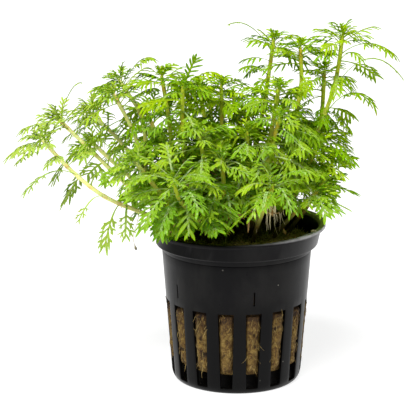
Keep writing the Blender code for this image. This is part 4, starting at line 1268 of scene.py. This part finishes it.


# Fresh green at the crown, deeper lower down, partly as painted shade far inside the bush, patchy, with
# painted highlights in patches on young blades, pale ribs with a painted highlight on those of the leaves in
# front, a paler underside and a few brown tips on older leaves.
def leafFields(place):
    age, tone, tip = place.value("age"), place.value("tone"), place.value("tip")
    patch = place.noise(2.4, 3)
    fresh = tone.paint((0.20, 0.41, 0.002), (0.38, 0.56, 0.004))
    oldAndShaded = tone.paint((0.036, 0.16, 0.001), (0.17, 0.34, 0.001))
    # Leaves further from the crown turn deeper olive: older, and darker as painted shade far inside the bush.
    green = (age * 0.85 + 0.35 * patch - 0.1).paint(fresh, oldAndShaded)
    light = (place.value("pale") * 0.8).paint(green, (0.42, 0.56, 0.09))
    # Painted highlight: pale patches on the younger blades.
    paintedHighlight = place.stretched(1, 1, 0.6).noise(1.3, 2).over(0.56, 0.72) * (1 - age)
    light = (paintedHighlight * 0.5).paint(light, (0.52, 0.66, 0.30))
    # Painted highlight on the ribs of the leaves in front; elsewhere the ribs are only paler green.
    ribAndHighlight = place.value("silver").paint((0.34, 0.50, 0.012), (0.55, 0.70, 0.34))
    veined = (place.value("rib") * 0.8).paint(light, ribAndHighlight)
    turned = (tip * 0.7 + age * 0.9 + patch * 0.7 + tone * 0.35).over(2.02, 2.3)
    aged = (turned * 0.8).paint(veined, (0.42, 0.27, 0.04))
    return {
        "Base Color": (place.value("under") * 0.3).paint(aged, (0.26, 0.40, 0.008)),
        "Roughness": 0.28 + 0.2 * patch,
        "Normal": place.noise(0.5, 2).bump(0.06, 0.5),
    }


# Brown at the foot, darkened further there as painted shade, and yellow green above, pale on the left,
# painted dark as shade between the others low down, with a red blush at the joints.
def stemFields(place):
    streak = place.stretched(1, 1, 0.2).noise(0.5, 3)
    share, joint = place.value("share"), place.value("joint")
    # Brown at the foot and near black just above the plug: the real colour there darkened with painted shade.
    body = (share + 0.3 * streak).ramp(
        (0.2, (0.045, 0.03, 0.007)), (0.4, (0.22, 0.19, 0.035)), (0.56, (0.55, 0.56, 0.12)),
        (0.85, (0.56, 0.62, 0.06)), (1.1, (0.50, 0.60, 0.04)))
    body = place.value("pale").paint(body, (0.82, 0.83, 0.32))
    shaded = place.axis("Z").over(62 * mm, 53 * mm) * place.axis("X").over(-30 * mm, -18 * mm) * 0.8
    body = shaded.paint(body, (0.05, 0.035, 0.008))
    blush = (joint * place.noise(4.5, 2).over(0.5, 0.66)) * 0.5
    return {
        "Base Color": blush.paint(body, (0.62, 0.25, 0.04)),
        "Roughness": 0.38 + 0.2 * streak,
        "Normal": streak.bump(0.08, 0.5),
    }


thin = {"Subsurface Weight": 0.25, "Subsurface Radius": (0.5, 1.0, 0.12), "Subsurface Scale": 0.5 * mm,
        "Specular IOR Level": 0.05, "Specular Tint": (0.8, 1.0, 0.2, 1)}
leafGreen = finish("soft green leaf", leafFields, thin)
stemGreen = finish("yellow green stem", stemFields, thin)
crowd = Crowd(len(shootTable))
routes, leaves = planShoots(crowd)
print("leaves on the solids' midribs:", sum(map(len, leaves)))
fillShoots(crowd, routes, leaves)
print("leaves in all:", sum(map(len, leaves)))
for number, (route, own) in enumerate(zip(routes, leaves)):
    makeShoot(number, route, own, leafGreen, stemGreen)
print("shoots made:", len(routes))


# Small things: moss, fibres, rootlets, what is dead, and the crumb on the rim

litter = {
    "mossStrands": 2600,
    "mossLength": (0.7, 2.2),
    "mossRadius": (0.07, 0.16),
    "mossReach": 23.0 * mm,
    "fibres": 620,
    "fibreLength": (1.0, 3.2),
    "fibreRadius": (0.05, 0.1),
    # Tufts: their middle in millimetres, how many hang there, and how far about it
    "rootletSpots": [(10, -18.5, 61.5, 18, 2.2), (13, -12, 57, 6, 2.0), (5, -17, 60, 5, 1.6),
                     (-5, -16, 56, 4, 1.6)],
    "rootletLength": (3, 7),
    "rootletRadius": 0.12 * mm,
    "deadSpots": [(-3, -20, 59, 9), (3, -19, 59, 9), (-18, -16, 55, 5), (8, -18, 60, 7), (16, -12, 52, 3),
                  (-1, -12, 66, 6)],
    "deadSpread": (3, 2.5, 2.5),
    "deadLength": (1.5, 4.5),
    "deadRadius": (0.2, 0.45),
    "hair": [(-30.7, -6, 57), (-31.5, -9, 53.5), (-32.8, -10, 49), (-31.9, -10, 44.6)],
    "hairStep": 0.6,
    "hairRadius": (0.11, 0.09, 0.45, 0.2),  # at its start, four rings before its end, two before it and at it
    "crumb": (23.9, -12.6, 51.5),
    "crumbSize": (0.95, 0.6, 0.42),
}


# Thin strands: line = root + length * (t * heading + t^2 * bend), a three-sided tube that thins to a
# quarter by 1 - 0.75 * t^2.
def strandPart(root, heading, length, radius, bend, finishNumber, rings=4):
    t = np.linspace(0, 1, rings)[None, :, None]
    length = np.broadcast_to(length, len(root))[:, None, None]
    path = root[:, None] + length * (t * heading[:, None] + t**2 * bend[:, None])
    line = unit(heading[:, None] + 2 * t * bend[:, None])
    side = unit(np.cross(line, [0.36, 0.48, 0.8]))
    turn = np.radians([90, 210, 330])
    thick = np.broadcast_to(radius, len(root))[:, None, None] * (1 - 0.75 * t**2)
    points, faces = carried(path, side, np.cross(side, line), thick * np.cos(turn), thick * np.sin(turn))
    return points, faces, finishNumber, {}


# Random vectors in a box from -most to most.
def scattered(count, most=1.0):
    return rng.uniform(-most, most, (count, 3))


# Moss stands all over the plug's top, thick and low: radius = reach * sqrt(random) spreads it evenly.
def mossPart():
    s = litter
    count = s["mossStrands"]
    radius = s["mossReach"] * np.sqrt(rng.uniform(0, 1, count))
    turn = rng.uniform(0, 2 * np.pi, count)
    x, y = radius * np.cos(turn), radius * np.sin(turn)
    root = np.stack([x, y, woolTopAt(x, y) - 0.3 * mm], axis=1)
    heading = unit(scattered(count) * (1, 1, 0.4) + (0, 0, 0.9))
    length = rng.uniform(*s["mossLength"], count) * mm
    bend = scattered(count, 0.5) - (0, 0, 0.3)
    return strandPart(root, heading, length, rng.uniform(*s["mossRadius"], count) * mm, bend, 0)


# Fibres leave the plug's ribs in the slots at random turns and heights, most of them up or down, and lie
# back on it.
def fibrePart():
    s = litter
    count = s["fibres"]
    slot = rng.integers(0, potShape["slots"], count)
    z = rng.uniform(woolShape["ridgeBottom"] + mm, woolShape["ridgeTop"] - mm, count)
    width = slotWidth(z)
    radius = innerRadius(z) - woolShape["gap"] + woolShape["proud"] - 0.35 * mm
    turn = potShape["slotPhase"] + 2 * np.pi * slot / potShape["slots"]
    turn = turn + rng.uniform(-0.4, 0.4, count) * width / radius
    out = np.stack([np.sin(turn), -np.cos(turn), 0 * turn], axis=1)
    along = np.stack([np.cos(turn), np.sin(turn), 0 * turn], axis=1)
    rise = rng.choice((-1, 1), count)[:, None] * np.array([0, 0, 1.0])
    heading = unit(0.35 * out + 0.9 * rise + rng.uniform(-0.5, 0.5, (count, 1)) * along)
    length = rng.uniform(*s["fibreLength"], count) * mm
    bend = -0.3 * out + 0.35 * rng.uniform(-1, 1, (count, 1)) * along
    return strandPart(radius[:, None] * out + z[:, None] * [0, 0, 1], heading, length,
                      rng.uniform(*s["fibreRadius"], count) * mm, bend, 1)


# Rootlets hang in tufts from the lowest stems, each as long as is left above the plug, or shorter.
def rootletParts():
    s = litter
    parts = []
    for x, y, z, count, wide in s["rootletSpots"]:
        root = (np.array([x, y, z]) + scattered(count) * (wide, wide, 1.5)) * mm
        heading = unit(scattered(count, 0.22) + (0, 0, -1))
        room = root[:, 2] - woolTopAt(root[:, 0], root[:, 1])
        length = np.minimum(room, rng.uniform(*s["rootletLength"], count) * mm)
        parts.append(strandPart(root, heading, length, s["rootletRadius"], scattered(count, 0.35), 2, 6))
    return parts


# Dead scraps: short curled strips between the stem feet.
def deadParts():
    s = litter
    parts = []
    for x, y, z, count in s["deadSpots"]:
        root = (np.array([x, y, z]) + scattered(count) * s["deadSpread"]) * mm
        heading = unit(scattered(count) - (0, 0, 0.3))
        length = rng.uniform(*s["deadLength"], count) * mm
        radius = rng.uniform(*s["deadRadius"], count) * mm
        parts.append(strandPart(root, heading, length, radius, scattered(count, 0.5), 3, 5))
    return parts


# One pale root hair hangs down outside the pot from the lowest stem on the left, a tube with a dark scrap
# at its end.
def hairPart():
    path = routeThrough(litter["hair"], litter["hairStep"]) * mm
    count = len(path)
    radius = np.interp(np.arange(count), (0, count - 4, count - 2, count - 1), litter["hairRadius"]) * mm
    turn = np.radians(np.arange(0, 360, 60))
    points, faces = tube(path, radius[:, None], turn, [0.1, 1.0, 0.2])
    return points, faces, 2, {"end": np.repeat(np.linspace(0, 1, count) ** 8, 6)}


# The crumb is a lumpy ball: size * (cos rise * cos turn, cos rise * sin turn, sin rise) * (1 + 0.3 *
# lumps), each of its rings laid flat.
def crumbPart():
    turns = np.linspace(0, 2 * np.pi, 9, endpoint=False)
    rise, turn = np.meshgrid(np.radians(np.linspace(-80, 80, 6)), turns, indexing="ij")
    ball = np.stack([np.cos(rise) * np.cos(turn), np.cos(rise) * np.sin(turn), np.sin(rise)], axis=-1)
    ball = ball * litter["crumbSize"] * (1 + 0.3 * lumps(ball * mm, 0.9, 31)[..., None]) * mm
    height = ball[..., 2].mean(axis=1)
    path = np.array(litter["crumb"]) * mm + height[:, None] * [0, 0, 1]
    side, up = [np.broadcast_to(way, (1, *path.shape)) for way in ([1.0, 0, 0], [0, 1.0, 0])]
    points, faces = carried(path[None], side, up, ball[None, ..., 0], ball[None, ..., 1])
    return points, faces, 4, {}


mossy = finish("dark moss", lambda place: {
    "Base Color": place.noise(2.2, 3).ramp(
        (0.35, (0.10, 0.075, 0.018)), (0.52, (0.22, 0.195, 0.036)), (0.7, (0.42, 0.37, 0.08))),
}, {"Roughness": 0.7, "Specular IOR Level": 0.2})
strawy = finish("rock wool fibre", lambda place: {
    "Base Color": place.noise(1.6, 2).ramp((0.35, (0.12, 0.07, 0.02)), (0.6, (0.38, 0.27, 0.09))),
}, {"Roughness": 0.6, "Specular IOR Level": 0.3})
tan = finish("pale rootlet", lambda place: {
    "Base Color": place.value("end").paint((0.95, 0.82, 0.52), (0.02, 0.012, 0.005)),
}, {"Roughness": 0.5, "Specular IOR Level": 0.3})
dead = finish("dead leaf", lambda place: {
    "Base Color": place.noise(1.8, 2).ramp((0.35, (0.22, 0.10, 0.03)), (0.6, (0.62, 0.40, 0.15))),
}, {"Roughness": 0.6, "Specular IOR Level": 0.2})
crumbly = finish("pale crumb", lambda place: {
    "Base Color": place.noise(0.5, 2).paint((0.55, 0.36, 0.2), (0.85, 0.76, 0.62)),
}, {"Roughness": 0.7})
small = [mossPart(), fibrePart(), *rootletParts(), *deadParts(), hairPart(), crumbPart()]
piece("moss_fibres_and_scraps", small, [mossy, strawy, tan, dead, crumbly], (), 50)
print("small things made")
